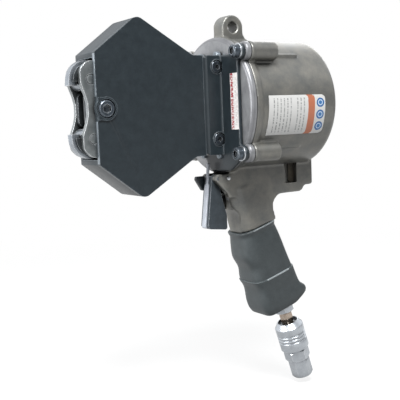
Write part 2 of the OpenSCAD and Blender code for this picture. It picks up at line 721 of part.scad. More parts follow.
module lower_notchers() { placed() color("#8f9294") mirror([0, 0, 1]) notchers(); }
module upper_tail_pin() {
  placed() color("#c9ccd0") rod_y(tail_x, tail_z, upper_link_y + link_t + 0.2, tail_pin_d / 2);
}
module lower_tail_pin() {
  placed() color("#c9ccd0") rod_y(tail_x, -tail_z, lower_link_end + 1, tail_pin_d / 2);
}
module link_pair(y0) {
  tilt = atan2(tail_z, tail_x - crosshead_x);
  both_sides() difference() {
    slab(y0, y0 + link_t) translate([crosshead_x, 0]) {
      circle(r = link_end_r, $fn = round_fn);
      rotate([0, 0, tilt]) translate([0, -4.6]) square([link_len, 9.2]);
      rotate([0, 0, tilt]) translate([link_len, 0]) circle(r = link_end_r, $fn = round_fn);
    }
    rod_y(crosshead_x, 0, inner_half, crosshead_pin_d / 2 + run_gap);
    rod_y(tail_x, tail_z, inner_half, tail_pin_d / 2 + tail_room);
  }
}
module upper_links() { placed() color("#a3a5a8") link_pair(upper_link_y); }
module lower_links() { placed() color("#a3a5a8") mirror([0, 0, 1]) link_pair(lower_link_y); }

// ---------- trigger and valve ----------
module trigger() {
  half = trigger_w / 2;
  // all points stand about the trigger's pivot
  placed() color("#8e9299") translate([-trigger_x, 0, -trigger_z]) difference() {
    union() {
      // side plates, set back from the pad
      slab(-half, half) polygon(rounded([[-1.4, 3.2, 2.6], [-3, 2.4, 1], [-8.2, -38.8, 1.2],
        [-6.8, -41.2, 1.5], [10.4, -43.2, 2], [10.2, -30.6, 2], [6.2, -16.6, 4], [2.8, -2.6, 2],
        [2.8, 3.2, 2.6]]));
      // finger pad along the front
      slab(-pad_half_w, pad_half_w) polygon(rounded([[-3.6, 12.8, 0.6], [-9.8, -39.8, 1.2],
        [-7.8, -41, 0.8], [-5.4, -39.8, 0.8], [-2.9, 3.4, 0], [-0.8, 12.8, 0.6]]));
    }
    // channel behind the pad
    slab(-half + 2, half - 2) polygon([[-2.6, 7.4], [-3.4, -4.6], [-6.9, -38.4], [15, -39.4],
      [15, 7.4]]);
    rod_y(0, 0, half + 1, trigger_pin_d / 2 + run_gap);
  }
}
module trigger_pin() {
  placed() color("#c9ccd0") rod_y(-trigger_x, -trigger_z, cheek_half_w, trigger_pin_d / 2);
}
module dowel_pin() {
  placed() color("#c9ccd0") rod_y(dowel_x, -trigger_z, cheek_half_w + 0.2, dowel_r);
}
module valve_bushing() {
  placed() color("#a9803f") translate([0, 0, -valve_z]) difference() {
    rod_x(valve_front, valve_front + bushing_len, valve_r, small_fn);
    rod_x(valve_front - 1, valve_front + bushing_len + 1, stem_r + run_gap, small_fn);
    for (x = [8, 18]) translate([valve_front + x, 0, -valve_r - 1])
      cylinder(h = 2 * valve_r + 2, r = 1.8, $fn = small_fn);
  }
}
module valve_clip() {
  placed() color("#8d9096") translate([0, 0, -valve_z]) difference() {
    rod_x(valve_front - 1, valve_front, valve_r, small_fn);
    rod_x(valve_front - 2, valve_front + 1, 3, small_fn);
  }
}
module valve_stem() {
  placed() color("#c9ccd0") translate([0, 0, -valve_z]) difference() {
    union() {
      rod_x(valve_front + 3, valve_front + bushing_len - 3, stem_r, small_fn);
      rod_x(stem_tip_x, valve_front + 4, 2.4, small_fn);
    }
    for (x = [5, bushing_len - 7]) difference() {
      rod_x(valve_front + x, valve_front + x + 2, stem_r + 1, small_fn);
      rod_x(valve_front + x - 1, valve_front + x + 3, stem_r - 1.4, small_fn);
    }
  }
}
module stem_seals() {
  placed() color("#1d1d1f") translate([0, 0, -valve_z]) for (x = [5, bushing_len - 7])
    difference() {
      rod_x(valve_front + x, valve_front + x + 2, stem_r, small_fn);
      rod_x(valve_front + x - 1, valve_front + x + 3, stem_r - 1.4, small_fn);
    }
}
module valve_spring() {
  placed() color("#8d9096") translate([0, 0, -valve_z])
    coil_x(valve_front + bushing_len - 3, chamber_end, 3, 0.5, 7, 8);
}
module exhaust_silencer() {
  placed() color("#8b7a55") slab(-housing_half_w + 3.4, -housing_half_w + 5) exhaust_shape();
}

// ---------- grip and air inlet ----------
// stations down the grip: [distance, front edge, rear edge, half width, corner radius]
grip_stations = [[0, -17.8, 17.4, 14.8, 9], [12, -20, 18.8, 15.9, 9], [22, -21.4, 19.8, 16.4, 9],
  [33, -18.6, 20.4, 16.6, 8.5], [43, -19.8, 21.4, 16.8, 8], [52, -17.6, 22.2, 16.8, 7],
  [62, -18.8, 24, 16.8, 6], [67, -19, 28, 16.8, 5.5], [72, -18.6, 27, 16.6, 5.5],
  [grip_len, -17, 17, 15.6, 5.5]];
module grip_slice(g) {
  translate([0, 0, -g[0]]) linear_extrude(0.05)
    polygon(rounded([[g[1], -g[3], g[4]], [g[2], -g[3], g[4]], [g[2], g[3], g[4]], [g[1], g[3], g[4]]], 5));
}
module grip_sleeve() {
  placed() color("#45494b") grip_frame() difference() {
    for (i = [0:len(grip_stations) - 2]) hull() {
      grip_slice(grip_stations[i]);
      grip_slice(grip_stations[i + 1]);
    }
    translate([-11, -9.5, -core_s - 2]) cube([27, 19, core_s + 8]);
    translate([inlet_t, 0, -grip_len - 1]) cylinder(h = grip_len - core_s + 11, r = core_r, $fn = round_fn);
    translate([-30, -30, -0.05]) cube([60, 60, 5]);
  }
}
module inlet_nut() {
  placed() color("#c4c8cc") on_inlet(coupler_s) difference() {
    union() {
      translate([0, 0, -washer_t]) cylinder(h = washer_t, r = 9.2, $fn = round_fn);
      translate([0, 0, -washer_t]) hex_bar(nut_hex, inlet_nut_len, 0);
      cylinder(h = 12, r = inlet_d / 2, $fn = small_fn);
    }
    translate([0, 0, -washer_t - inlet_nut_len - 1]) cylinder(h = 30, r = 4.6, $fn = small_fn);
  }
}
module inlet_screen() {
  placed() color("#9a9da1") on_inlet(coupler_s) translate([0, 0, 12]) difference() {
    cylinder(h = 3, r = inlet_d / 2, $fn = small_fn);
    for (a = [0:60:300]) rotate([0, 0, a]) translate([3.2, 0, -1]) cylinder(h = 5, r = 1, $fn = 20);
  }
}
module plug_nipple() {
  top = coupler_s + washer_t + inlet_nut_len;
  placed() color("#c9b9a6") difference() {
    union() {
      on_inlet(top) hex_bar(neck_hex, neck_len_s, 0);
      on_inlet(top) cylinder(h = 10, r = 4.6, $fn = small_fn);
      on_inlet(top + neck_len_s + 21) cylinder(h = 21.5, r = 3.9, $fn = small_fn);
      on_inlet(top + neck_len_s + 13) cylinder(h = 13.5, r = 5.2, $fn = small_fn);
    }
    on_inlet(top + neck_len_s + 24) cylinder(h = 46, r = 2.3, $fn = small_fn);
    on_inlet(ball_s + 1.7) difference() {
      cylinder(h = 3.4, r = 7, $fn = small_fn);
      cylinder(h = 3.4, r = 3.9, $fn = small_fn);
    }
  }
}
module coupler_body() {
  placed() color("#c4c8cc") difference() {
    union() {
      on_inlet(hex_s) hex_bar(body_hex, body_hex_len, 0);
      on_inlet(hex_s + 1) cylinder(h = hex_s - sleeve_s - 1.5, r = 8.6, $fn = round_fn);
      // clip that the sleeve's spring pushes on
      on_inlet(clip_s) cylinder(h = 1, r = 10.5, $fn = round_fn);
    }
    on_inlet(hex_s - 1) cylinder(h = 40, r = 5.2 + run_gap, $fn = small_fn);
    on_inlet(hex_s + body_hex_len + 1) cylinder(h = body_hex_len + 4, r = 4, $fn = small_fn);
    for (a = [0:90:270]) on_inlet(ball_s) rotate([0, 0, a]) translate([4, 0, 0])
      rotate([0, 90, 0]) cylinder(h = 8, r = ball_r + fit, $fn = small_fn);
  }
}
module coupler_end() {
  placed() color("#bfc4c9") on_inlet(end_s) difference() {
    hex_bar(end_hex, end_len, 0);
    translate([0, 0, -end_len - 1]) cylinder(h = 14, r = 5.6, $fn = small_fn);
    translate([0, 0, -end_len]) cylinder(h = end_len + 2, r = 4, $fn = small_fn);
  }
}
module coupler_balls() {
  placed() color("#dfe2e6") for (a = [0:90:270])
    on_inlet(ball_s) rotate([0, 0, a]) translate([ball_ring_r, 0, 0]) sphere(r = ball_r, $fn = 24);
}
module coupler_sleeve() {
  grooves = [9.5, 12.5, 15.5];
  placed() color("#cdd1d5") on_inlet(sleeve_s + sleeve_len) difference() {
    rotate_extrude($fn = round_fn) polygon(concat(
      [[8.6 + run_gap, 0], [sleeve_r - 0.8, 0], [sleeve_r, 0.8]],
      [for (g = grooves) each [[sleeve_r, g - 0.7], [sleeve_r - 0.7, g - 0.3], [sleeve_r - 0.7, g + 0.3],
        [sleeve_r, g + 0.7]]],
      [[sleeve_r, sleeve_len - 4.4], [sleeve_r - 1, sleeve_len - 3.4], [9.4, sleeve_len],
       [8.6 + run_gap, sleeve_len]]));
    // room for the spring inside
    difference() {
      translate([0, 0, 2.4]) cylinder(h = 14.6, r = 10.9, $fn = round_fn);
      translate([0, 0, -1]) cylinder(h = 20, r = 8.6, $fn = round_fn);
    }
  }
}
module coupler_spring() {
  placed() color("#8d9096") on_inlet(sleeve_s + sleeve_len) rotate([0, -90, 0])
    coil_x(2.6, 12.2, 9.8, 0.6, 5, 14);
}

// ---------- plates ----------
label_top = 6.1;
label_low = -28.5;
module data_plate() {
  placed() color("#e9e9e6") rotate([-90, 0, 0]) rotate([0, 90, 0])
    translate([0, 0, label_x]) rotate([0, 0, -label_top])
    rotate_extrude(angle = label_top - label_low, $fn = 180)
      translate([barrel_r + 0.03, 0]) square([label_t, label_len]);
}
module bracket_plate() {
  placed() color("#e6e2df") translate([-bracket_t - label_t, -bracket_half_w + 1.4, -19.6])
    cube([label_t, 10.6, 44]);
}

main_casting();
front_cover();
cover_gasket();
head_bracket();
cover_bolts();
bolt_washers();
near_cover_plate();
far_housing();
head_screw();
side_screws();
near_tie_plate();
far_tie_plate();
anvil_block();
jaw_pins();
rod_bush();
rod_seal();
rear_bumper();
return_spring();
valve_bushing();
valve_spring();
valve_clip();
trigger_pin();
dowel_pin();
exhaust_silencer();
grip_sleeve();
inlet_nut();
inlet_screen();
plug_nipple();
data_plate();
bracket_plate();
piston();
piston_seal();
piston_rod();
piston_nut();
crosshead();
crosshead_pin();
upper_jaw();
lower_jaw();
upper_notchers();
lower_notchers();
upper_tail_pin();
lower_tail_pin();
upper_links();
lower_links();
trigger();
valve_stem();
stem_seals();
coupler_body();
coupler_end();
coupler_balls();
coupler_spring();
coupler_sleeve();
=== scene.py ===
"""A pistol-grip pneumatic strap sealer in its cast, painted, ground, plated and rubber finishes.

Sizes are millimetres about the centre of the cylinder's front face: +X to the rear, -Y to the
near side, +Z up. `place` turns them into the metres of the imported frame.
"""

import json
import logging
import math
from dataclasses import dataclass, field, replace
from enum import Enum
from typing import Callable, Iterable, Optional, Sequence

import bpy
from mathutils import Matrix, Vector

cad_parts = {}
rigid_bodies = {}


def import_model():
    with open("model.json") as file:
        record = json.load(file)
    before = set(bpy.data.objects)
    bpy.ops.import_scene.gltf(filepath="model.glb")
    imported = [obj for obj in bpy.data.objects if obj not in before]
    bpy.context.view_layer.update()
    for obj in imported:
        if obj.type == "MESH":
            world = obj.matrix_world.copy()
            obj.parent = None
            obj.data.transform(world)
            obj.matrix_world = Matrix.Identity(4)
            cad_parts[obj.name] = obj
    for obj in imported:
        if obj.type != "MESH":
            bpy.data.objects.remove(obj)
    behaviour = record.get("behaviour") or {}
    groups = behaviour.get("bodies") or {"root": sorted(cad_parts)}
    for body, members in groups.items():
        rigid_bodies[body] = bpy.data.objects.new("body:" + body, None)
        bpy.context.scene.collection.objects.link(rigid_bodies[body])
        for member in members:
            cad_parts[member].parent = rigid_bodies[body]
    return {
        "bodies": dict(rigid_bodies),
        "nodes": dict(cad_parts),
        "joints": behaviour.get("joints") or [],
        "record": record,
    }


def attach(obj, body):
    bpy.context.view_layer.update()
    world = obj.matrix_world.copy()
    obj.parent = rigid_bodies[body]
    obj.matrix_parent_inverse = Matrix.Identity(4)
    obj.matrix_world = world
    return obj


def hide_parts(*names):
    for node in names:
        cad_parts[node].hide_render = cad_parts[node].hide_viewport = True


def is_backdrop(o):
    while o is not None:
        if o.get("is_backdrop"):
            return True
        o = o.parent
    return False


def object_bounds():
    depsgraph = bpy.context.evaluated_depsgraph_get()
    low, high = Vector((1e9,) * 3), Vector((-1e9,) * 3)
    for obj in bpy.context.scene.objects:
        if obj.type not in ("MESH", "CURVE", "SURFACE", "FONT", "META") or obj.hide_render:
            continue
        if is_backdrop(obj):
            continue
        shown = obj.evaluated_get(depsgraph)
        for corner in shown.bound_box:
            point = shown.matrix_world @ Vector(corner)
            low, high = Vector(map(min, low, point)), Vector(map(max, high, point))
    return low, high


log = logging.getLogger("sealer")

MM = 0.001
EYE_X, EYE_Z = 17.1, 63.4
# the cover's screws as Y and Z, and the screws in the bracket's sides as side and Z
BOLTS = [(side * 43.0, z) for side in (-1, 1) for z in (40.7, -38.4)]
SIDE_SCREWS = [(side, z) for side in (-1, 1) for z in (30.5, -27.0)]
SIDE_SCREW_X = -6.4
NOSE_SCREW_X, NOSE_SCREW_R = -104.8, 4.1
# half the width inside the head, and of the anvil between its tie plates
INNER, TIE_Y = 13.6, 9.6
# where the grip's axis starts, and how far it leans back
GRIP_X, GRIP_Z, RAKE = 33.0, -102.1, math.radians(17)
# share of a rounded corner's radius that is missing along its diagonal
CORNER_SHARE = 0.293
REARWARD = Vector((1, 0, 0))
Point = tuple[float, float, float]
Outline = list[tuple[float, float]]
Piece = bpy.types.Object


def place(x: float, y: float, z: float) -> Vector:
    """Turns a point in the tool's millimetres into the frame's metres.

    Args:
        x: Distance behind the cylinder's front face.
        y: Distance towards the far side.
        z: Height above the cylinder's centre line.

    Returns:
        The point in metres about the suspension eye.
    """
    return Vector(((x - EYE_X) * MM, y * MM, (z - EYE_Z) * MM))


def on_grip(across: float, side: float, down: float) -> Vector:
    """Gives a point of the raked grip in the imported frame.

    Args:
        across: Distance behind the grip's axis.
        side: Distance towards the far side.
        down: Distance down the grip from the end of the casting.

    Returns:
        The point in metres about the suspension eye.
    """
    c, s = math.cos(RAKE), math.sin(RAKE)
    return place(GRIP_X + across * c + down * s, side, GRIP_Z + across * s - down * c)


def arc(radius: float, degrees: Iterable[float]) -> Outline:
    """Gives points on a circle about the origin, one for each angle."""
    return [(radius * math.cos(t), radius * math.sin(t)) for t in map(math.radians, degrees)]


def linear(hex_code: str) -> tuple[float, float, float, float]:
    """Turns an sRGB hex colour into linear red, green, blue and alpha.

    Args:
        hex_code: Six hexadecimal digits after a hash.

    Returns:
        The linear colour.
    """
    parts = [int(hex_code[i:i + 2], 16) / 255 for i in (1, 3, 5)]
    lin = [c / 12.92 if c <= 0.04045 else ((c + 0.055) / 1.055) ** 2.4 for c in parts]
    return (lin[0], lin[1], lin[2], 1.0)


# ---------------------------------------------------------------- finishes
def add_node(tree: bpy.types.NodeTree, kind: str, settings: Optional[dict] = None,
             values: Optional[dict] = None, links: Optional[dict] = None) -> bpy.types.Node:
    """Adds one node with its settings, socket values and incoming links.

    Args:
        tree: The node tree that gets it.
        kind: The node's type name.
        settings: Node properties by name.
        values: Input socket values by name or number.
        links: Output sockets by the name or number of the input that they feed.

    Returns:
        The new node.
    """
    node = tree.nodes.new(kind)
    for key, value in (settings or {}).items():
        setattr(node, key, value)
    for key, value in (values or {}).items():
        node.inputs[key].default_value = value
    for key, socket in (links or {}).items():
        tree.links.new(socket, node.inputs[key])
    return node


def new_material(name: str) -> bpy.types.Material:
    """Adds a material that is made of nodes."""
    material = bpy.data.materials.new(name)
    material.use_nodes = True
    return material


class Grain(Enum):
    """How a surface was made, which sets its fine texture."""

    CAST = "cast"
    PAINTED = "painted"
    GROUND = "ground"
    PLATED = "plated"
    MOULDED = "moulded"


# painted shade in bores and inner corners, with some oil and dust in it, and how far into the open
# it reaches, in millimetres
CORNER_SHADE_AND_GRIME, CORNER_SHADE_REACH = "#201f1c", 11


@dataclass(frozen=True)
class Finish:
    """One surface finish.

    Fields hold the colours, the gloss, and the sizes in millimetres of its mottling and grain.
    """

    name: str
    slot: str
    grain: Grain
    dark: str
    light: str
    edge_sheen_and_scuff_colour: str
    metallic: float
    roughness: float
    spread: float = 0.03
    mottle_mm: float = 9.0
    grain_mm: float = 0.8
    depth_mm: float = 0.03
    edge_sheen_and_scuff: float = 0.35
    edge_mm: float = 0.7
    coat: float = 0.0
    gloss: float = 0.5
    stretch: Point = (1.0, 1.0, 1.0)

    def build(self) -> bpy.types.Material:
        """Builds the material from the finish's own numbers."""
        material = new_material(self.name)
        tree = material.node_tree
        shader = tree.nodes["Principled BSDF"]
        shader.inputs["Metallic"].default_value = self.metallic
        shader.inputs["Coat Weight"].default_value = self.coat
        shader.inputs["Coat Roughness"].default_value = 0.25
        shader.inputs["Specular IOR Level"].default_value = self.gloss
        coords = add_node(tree, "ShaderNodeTexCoord").outputs["Object"]
        mottle = add_node(tree, "ShaderNodeTexNoise", values={
            "Scale": 1 / (self.mottle_mm * MM), "Detail": 4.0, "Roughness": 0.6},
            links={"Vector": coords}).outputs["Fac"]
        fine = self._fine(tree, coords)
        # broad mottling carries the colour, with a little of the fine grain in it
        mixed = add_node(tree, "ShaderNodeMath", {"operation": "MULTIPLY_ADD"},
                         {1: 0.35}, {0: fine, 2: mottle}).outputs[0]
        shade = add_node(tree, "ShaderNodeMapRange", values={1: 0.45, 2: 0.9},
                         links={0: mixed}).outputs[0]
        colour = add_node(tree, "ShaderNodeMix", {"data_type": "RGBA"},
                          {6: linear(self.dark), 7: linear(self.light)}, {0: shade}).outputs[2]
        patchy = add_node(tree, "ShaderNodeMapRange", values={1: 0.35, 2: 0.6, 3: 0.55},
                          links={0: mottle}).outputs[0]
        # edges get the pale colour: partly a painted highlight where light catches them, partly
        # wear
        sheen_and_scuff = add_node(tree, "ShaderNodeMath", {"operation": "MULTIPLY"}, {},
                          {0: self._edges(tree), 1: patchy}).outputs[0]
        colour = add_node(tree, "ShaderNodeMix", {"data_type": "RGBA"},
                          {7: linear(self.edge_sheen_and_scuff_colour)}, {0: sheen_and_scuff, 6: colour}).outputs[2]
        if self.grain in (Grain.CAST, Grain.GROUND, Grain.PLATED):
            # painted shade, with some oil and dust in it, darkens bores and inner corners
            open_share = add_node(tree, "ShaderNodeAmbientOcclusion", {"samples": 4},
                                  {"Distance": CORNER_SHADE_REACH * MM}).outputs["AO"]
            shade_and_grime = add_node(tree, "ShaderNodeMapRange", values={
                1: 0.3, 2: 0.85, 3: 0.85, 4: 0.0}, links={0: open_share}).outputs[0]
            colour = add_node(tree, "ShaderNodeMix", {"data_type": "RGBA"},
                              {7: linear(CORNER_SHADE_AND_GRIME)}, {0: shade_and_grime, 6: colour}).outputs[2]
        tree.links.new(colour, shader.inputs["Base Color"])
        rough = add_node(tree, "ShaderNodeMapRange", values={
            1: 0.3, 2: 0.7, 3: self.roughness - self.spread, 4: self.roughness + self.spread},
            links={0: mottle}).outputs[0]
        tree.links.new(rough, shader.inputs["Roughness"])
        bump = add_node(tree, "ShaderNodeBump", values={
            "Strength": 0.6, "Distance": self.depth_mm * MM}, links={"Height": fine})
        tree.links.new(bump.outputs["Normal"], shader.inputs["Normal"])
        return material

    def _edges(self, tree: bpy.types.NodeTree) -> bpy.types.NodeSocket:
        """Finds the edges that get the pale colour, painted highlight and wear together: cast skins
        by their curve, others by their rounding.

        Args:
            tree: The material's node tree.

        Returns:
            The socket that rises from 0 on a face to the finish's share of pale edge colour on an
            edge.
        """
        geometry = add_node(tree, "ShaderNodeNewGeometry")
        # on cast skins the paler curved edges are a painted highlight of their fillets
        if self.grain is Grain.CAST:
            return add_node(tree, "ShaderNodeMapRange", values={1: 0.515, 2: 0.60, 4: self.edge_sheen_and_scuff},
                            links={0: geometry.outputs["Pointiness"]}).outputs[0]
        soft = add_node(tree, "ShaderNodeBevel", {"samples": 4}, {"Radius": self.edge_mm * MM})
        same = add_node(tree, "ShaderNodeVectorMath", {"operation": "DOT_PRODUCT"}, {}, {
            0: soft.outputs[0], 1: geometry.outputs["Normal"]}).outputs["Value"]
        return add_node(tree, "ShaderNodeMapRange", values={1: 0.995, 2: 0.90, 4: self.edge_sheen_and_scuff},
                        links={0: same}).outputs[0]

    def _fine(self, tree: bpy.types.NodeTree, coords: bpy.types.NodeSocket) -> bpy.types.NodeSocket:
        """Adds the fine grain that belongs to the way the surface was made.

        Args:
            tree: The material's node tree.
            coords: The object coordinates.

        Returns:
            The socket that carries the grain's height.
        """
        scale = 1 / (self.grain_mm * MM)
        if self.grain is Grain.GROUND:
            turned = add_node(tree, "ShaderNodeMapping", values={"Scale": self.stretch},
                              links={"Vector": coords}).outputs[0]
            return add_node(tree, "ShaderNodeTexNoise", values={
                "Scale": scale, "Detail": 2.0}, links={"Vector": turned}).outputs["Fac"]
        if self.grain is Grain.MOULDED:
            return add_node(tree, "ShaderNodeTexVoronoi", {"feature": "SMOOTH_F1"}, {
                "Scale": scale, "Randomness": 0.9}, {"Vector": coords}).outputs["Distance"]
        detail = {Grain.CAST: 5.0, Grain.PAINTED: 1.0, Grain.PLATED: 0.0}[self.grain]
        return add_node(tree, "ShaderNodeTexNoise", values={
            "Scale": scale, "Detail": detail}, links={"Vector": coords}).outputs["Fac"]


# Die-cast aluminium under a smoked clear lacquer: warm grey, faintly sandy, its curved edges paler
# as a painted highlight.
CAST_BODY = Finish("die_cast_aluminium_lacquered", "cast_body", Grain.CAST, "#646665", "#84827b",
                   "#bcbcb8", 0.45, 0.38, 0.05, mottle_mm=15, grain_mm=0.9, depth_mm=0.03,
                   coat=0.12)
# The same metal with a cooler lacquer, on the turned cover.
CAST_COVER = Finish("die_cast_aluminium_cover", "cast_cover", Grain.CAST, "#6c6d70", "#808184",
                    "#c2c4c6", 0.45, 0.38, 0.05, mottle_mm=12, grain_mm=0.9, depth_mm=0.03,
                    coat=0.12)
# Oven-baked enamel on steel: blue-black satin, slight orange peel, grey at its edges, partly
# painted highlight and partly wear.
BLACK_COAT = Finish("baked_black_enamel", "black_coat", Grain.PAINTED, "#1d252a", "#242d32",
                    "#7c858c", 0.0, 0.38, mottle_mm=5, grain_mm=1.5, depth_mm=0.02, edge_sheen_and_scuff=0.6,
                    edge_mm=0.9)
# Case-hardened steel, surface ground along its length: satin with fine straight lines.
GROUND_STEEL = Finish("ground_hardened_steel", "jaw_steel", Grain.GROUND, "#7c8182", "#8f9495",
                      "#f2f4f5", 0.8, 0.32, mottle_mm=4, grain_mm=0.5, depth_mm=0.012, edge_sheen_and_scuff=1.0,
                      edge_mm=1.2, stretch=(1.0, 1.0, 0.12))
# Hardened jaws, ground and then polished by the seals that slide along them; their white edges are
# a painted highlight.
JAW_STEEL = Finish("polished_jaw_steel", "jaw_steel", Grain.GROUND, "#8a9198", "#9ba2a9",
                   "#f4f6f8", 0.85, 0.27, mottle_mm=4, grain_mm=0.45, depth_mm=0.01, edge_sheen_and_scuff=1.0,
                   edge_mm=1.0, stretch=(1.0, 0.15, 1.0))
# Centreless-ground pin steel: bright and even.
PIN_STEEL = Finish("ground_pin_steel", "pin_steel", Grain.GROUND, "#bcbfc2", "#cdd0d3", "#f2f3f4",
                   0.95, 0.22, 0.02, mottle_mm=3, grain_mm=0.3, depth_mm=0.004)
# Bright zinc plate: bluish silver, evenly bright, with small handling marks at its edges.
ZINC_PLATE = Finish("bright_zinc_plate", "zinc_steel", Grain.PLATED, "#b6bbc1", "#c6cbd0",
                    "#f6f8fa", 0.92, 0.30, 0.04, mottle_mm=5, grain_mm=1.4, depth_mm=0.006,
                    edge_sheen_and_scuff=0.9, edge_mm=0.6)
# Black oxide on socket screws: deep grey, oiled, with pale rims that are a painted highlight.
BLACK_OXIDE = Finish("black_oxide_steel", "black_steel", Grain.PLATED, "#474f57", "#59626b",
                     "#dde2e6", 0.75, 0.28, mottle_mm=3, grain_mm=0.8, depth_mm=0.005, edge_sheen_and_scuff=1.0,
                     edge_mm=0.8)
# Oil-tempered spring wire.
SPRING_WIRE = Finish("oil_tempered_wire", "spring_steel", Grain.GROUND, "#74777b", "#85898e",
                     "#c0c3c6", 0.8, 0.35, mottle_mm=3, grain_mm=0.4, depth_mm=0.006)
# Sintered bronze: brown-gold and open-grained.
BRONZE = Finish("sintered_bronze", "bronze", Grain.CAST, "#7c5f34", "#a98548", "#d8bd7f", 0.85,
                0.42, mottle_mm=2.5, grain_mm=0.35, depth_mm=0.04)
# The same bronze at the exhaust, darkened as painted shade for its recess.
SHADED_BRONZE = Finish("bronze_painted_shade", "bronze", Grain.CAST, "#1f1c17", "#3a342a", "#6b6353",
                      0.5, 0.5, mottle_mm=2.0, grain_mm=0.5, depth_mm=0.06)
# Nickel-plated brass whose plate has thinned: silver with a warm tint.
NICKEL_BRASS = Finish("thin_nickel_on_brass", "brass_plug", Grain.PLATED, "#b7a594", "#cfc1b4",
                      "#f6efe8", 0.85, 0.26, 0.02, mottle_mm=4, grain_mm=1.0, depth_mm=0.004,
                      edge_mm=0.4)
# Nitrile rubber of seals and joints.
SEAL_RUBBER = Finish("nitrile_rubber", "rubber", Grain.MOULDED, "#1b1c1e", "#242527", "#4c4e52",
                     0.0, 0.55, mottle_mm=4, grain_mm=0.5, depth_mm=0.02)
# Moulded grip rubber: dark satin grey with a fine spark-eroded stipple.
GRIP_RUBBER = Finish("moulded_grip_rubber", "grip_rubber", Grain.MOULDED, "#3b4143", "#454b4d",
                     "#7f878a", 0.0, 0.42, mottle_mm=6, grain_mm=0.9, depth_mm=0.03, edge_sheen_and_scuff=0.5,
                     edge_mm=1.2, coat=0.05, gloss=0.4)
# The sleeve's top lip and step, pale as a painted highlight where light catches their ledges.
LIP_HIGHLIGHT_RUBBER = Finish("rubber_lip_painted_highlight", "grip_rubber", Grain.MOULDED, "#868d90", "#9aa1a4",
                       "#b4babd", 0.0, 0.40, mottle_mm=4, grain_mm=0.9, depth_mm=0.02, edge_sheen_and_scuff=0.5)
# Pressed steel trigger under a thin grey lacquer, rubbed bright along its edges.
TRIGGER_LACQUER = Finish("grey_lacquered_steel", "trigger_metal", Grain.PAINTED, "#343b40",
                         "#40484e", "#c6cbd1", 0.3, 0.40, mottle_mm=5, grain_mm=1.0,
                         depth_mm=0.01, edge_sheen_and_scuff=0.95, edge_mm=0.5)
# The face of the trigger's pad, where the finger rides, coloured pale as the lit copy of the
# trigger's grey steel: painted light.
TRIGGER_PAD_LIT = Finish("trigger_pad_painted_light", "trigger_metal", Grain.PAINTED, "#aeb4bd", "#c0c5cd",
                     "#e6e9ee", 0.3, 0.36, mottle_mm=6, grain_mm=1.0, depth_mm=0.01, edge_sheen_and_scuff=0.8,
                     edge_mm=0.5)
# Turned aluminium piston.
PISTON_METAL = Finish("turned_aluminium", "piston_metal", Grain.GROUND, "#9da0a3", "#b0b3b6",
                      "#dcdee0", 0.9, 0.3, mottle_mm=5, grain_mm=0.4, depth_mm=0.006)
# Tool steel beside the jaws and in the anvil: a dark satin that is partly painted shade for the gap
# between the plates, paler along its edges.
NOTCHER_STEEL = Finish("dark_tool_steel_painted_shade", "jaw_steel", Grain.GROUND, "#2f3336", "#3f4447",
                       "#c3c7ca", 0.7, 0.34, mottle_mm=4, grain_mm=0.5, depth_mm=0.01, edge_sheen_and_scuff=0.8)
# A pale steel grey on the enamel's open front edges and on small pads at the bracket: a painted
# highlight.
EDGE_HIGHLIGHT = Finish("painted_edge_highlight", "black_coat", Grain.PAINTED, "#7b848b", "#8f989f",
                   "#d0d5d9", 0.6, 0.34, mottle_mm=4, grain_mm=1.2, depth_mm=0.01, edge_sheen_and_scuff=0.8,
                   edge_mm=0.4)
# The jaw pins' ends are ground flush with the plates round them.
PIN_FACE = replace(GROUND_STEEL, name="ground_pin_face", slot="pin_steel", edge_sheen_and_scuff=0.1)


class Paintbox:
    """Builds each finish once and hands it out."""

    def __init__(self) -> None:
        """Starts with no materials built."""
        self._made: dict[str, bpy.types.Material] = {}

    def get(self, finish: Finish) -> bpy.types.Material:
        """Returns the finish's material, building it the first time."""
        if finish.name not in self._made:
            self._made[finish.name] = finish.build()
        return self._made[finish.name]


# ---------------------------------------------------------------- workbench
def rounded(points: Sequence[Point], steps: int = 6) -> Outline:
    """Rounds the corners of a closed outline.

    Args:
        points: Corners as first coordinate, second coordinate and corner radius.
        steps: Segments in each rounded corner.

    Returns:
        The outline's points.
    """
    out: Outline = []
    count = len(points)
    for i in range(count):
        a, b, c = (Vector(points[k][:2]) for k in ((i - 1) % count, i, (i + 1) % count))
        radius = points[i][2]
        if radius < 0.01:
            out.append((b.x, b.y))
            continue
        u, v = (a - b).normalized(), (c - b).normalized()
        half = math.acos(max(-1.0, min(1.0, u.dot(v)))) / 2
        centre = b + (u + v).normalized() * radius / math.sin(half)
        start = b + u * radius / math.tan(half) - centre
        end = b + v * radius / math.tan(half) - centre
        first = math.atan2(start.y, start.x)
        turn = (math.atan2(end.y, end.x) - first + math.pi) % (2 * math.pi) - math.pi
        for k in range(steps + 1):
            t = first + turn * k / steps
            out.append((centre.x + radius * math.cos(t), centre.y + radius * math.sin(t)))
    return out


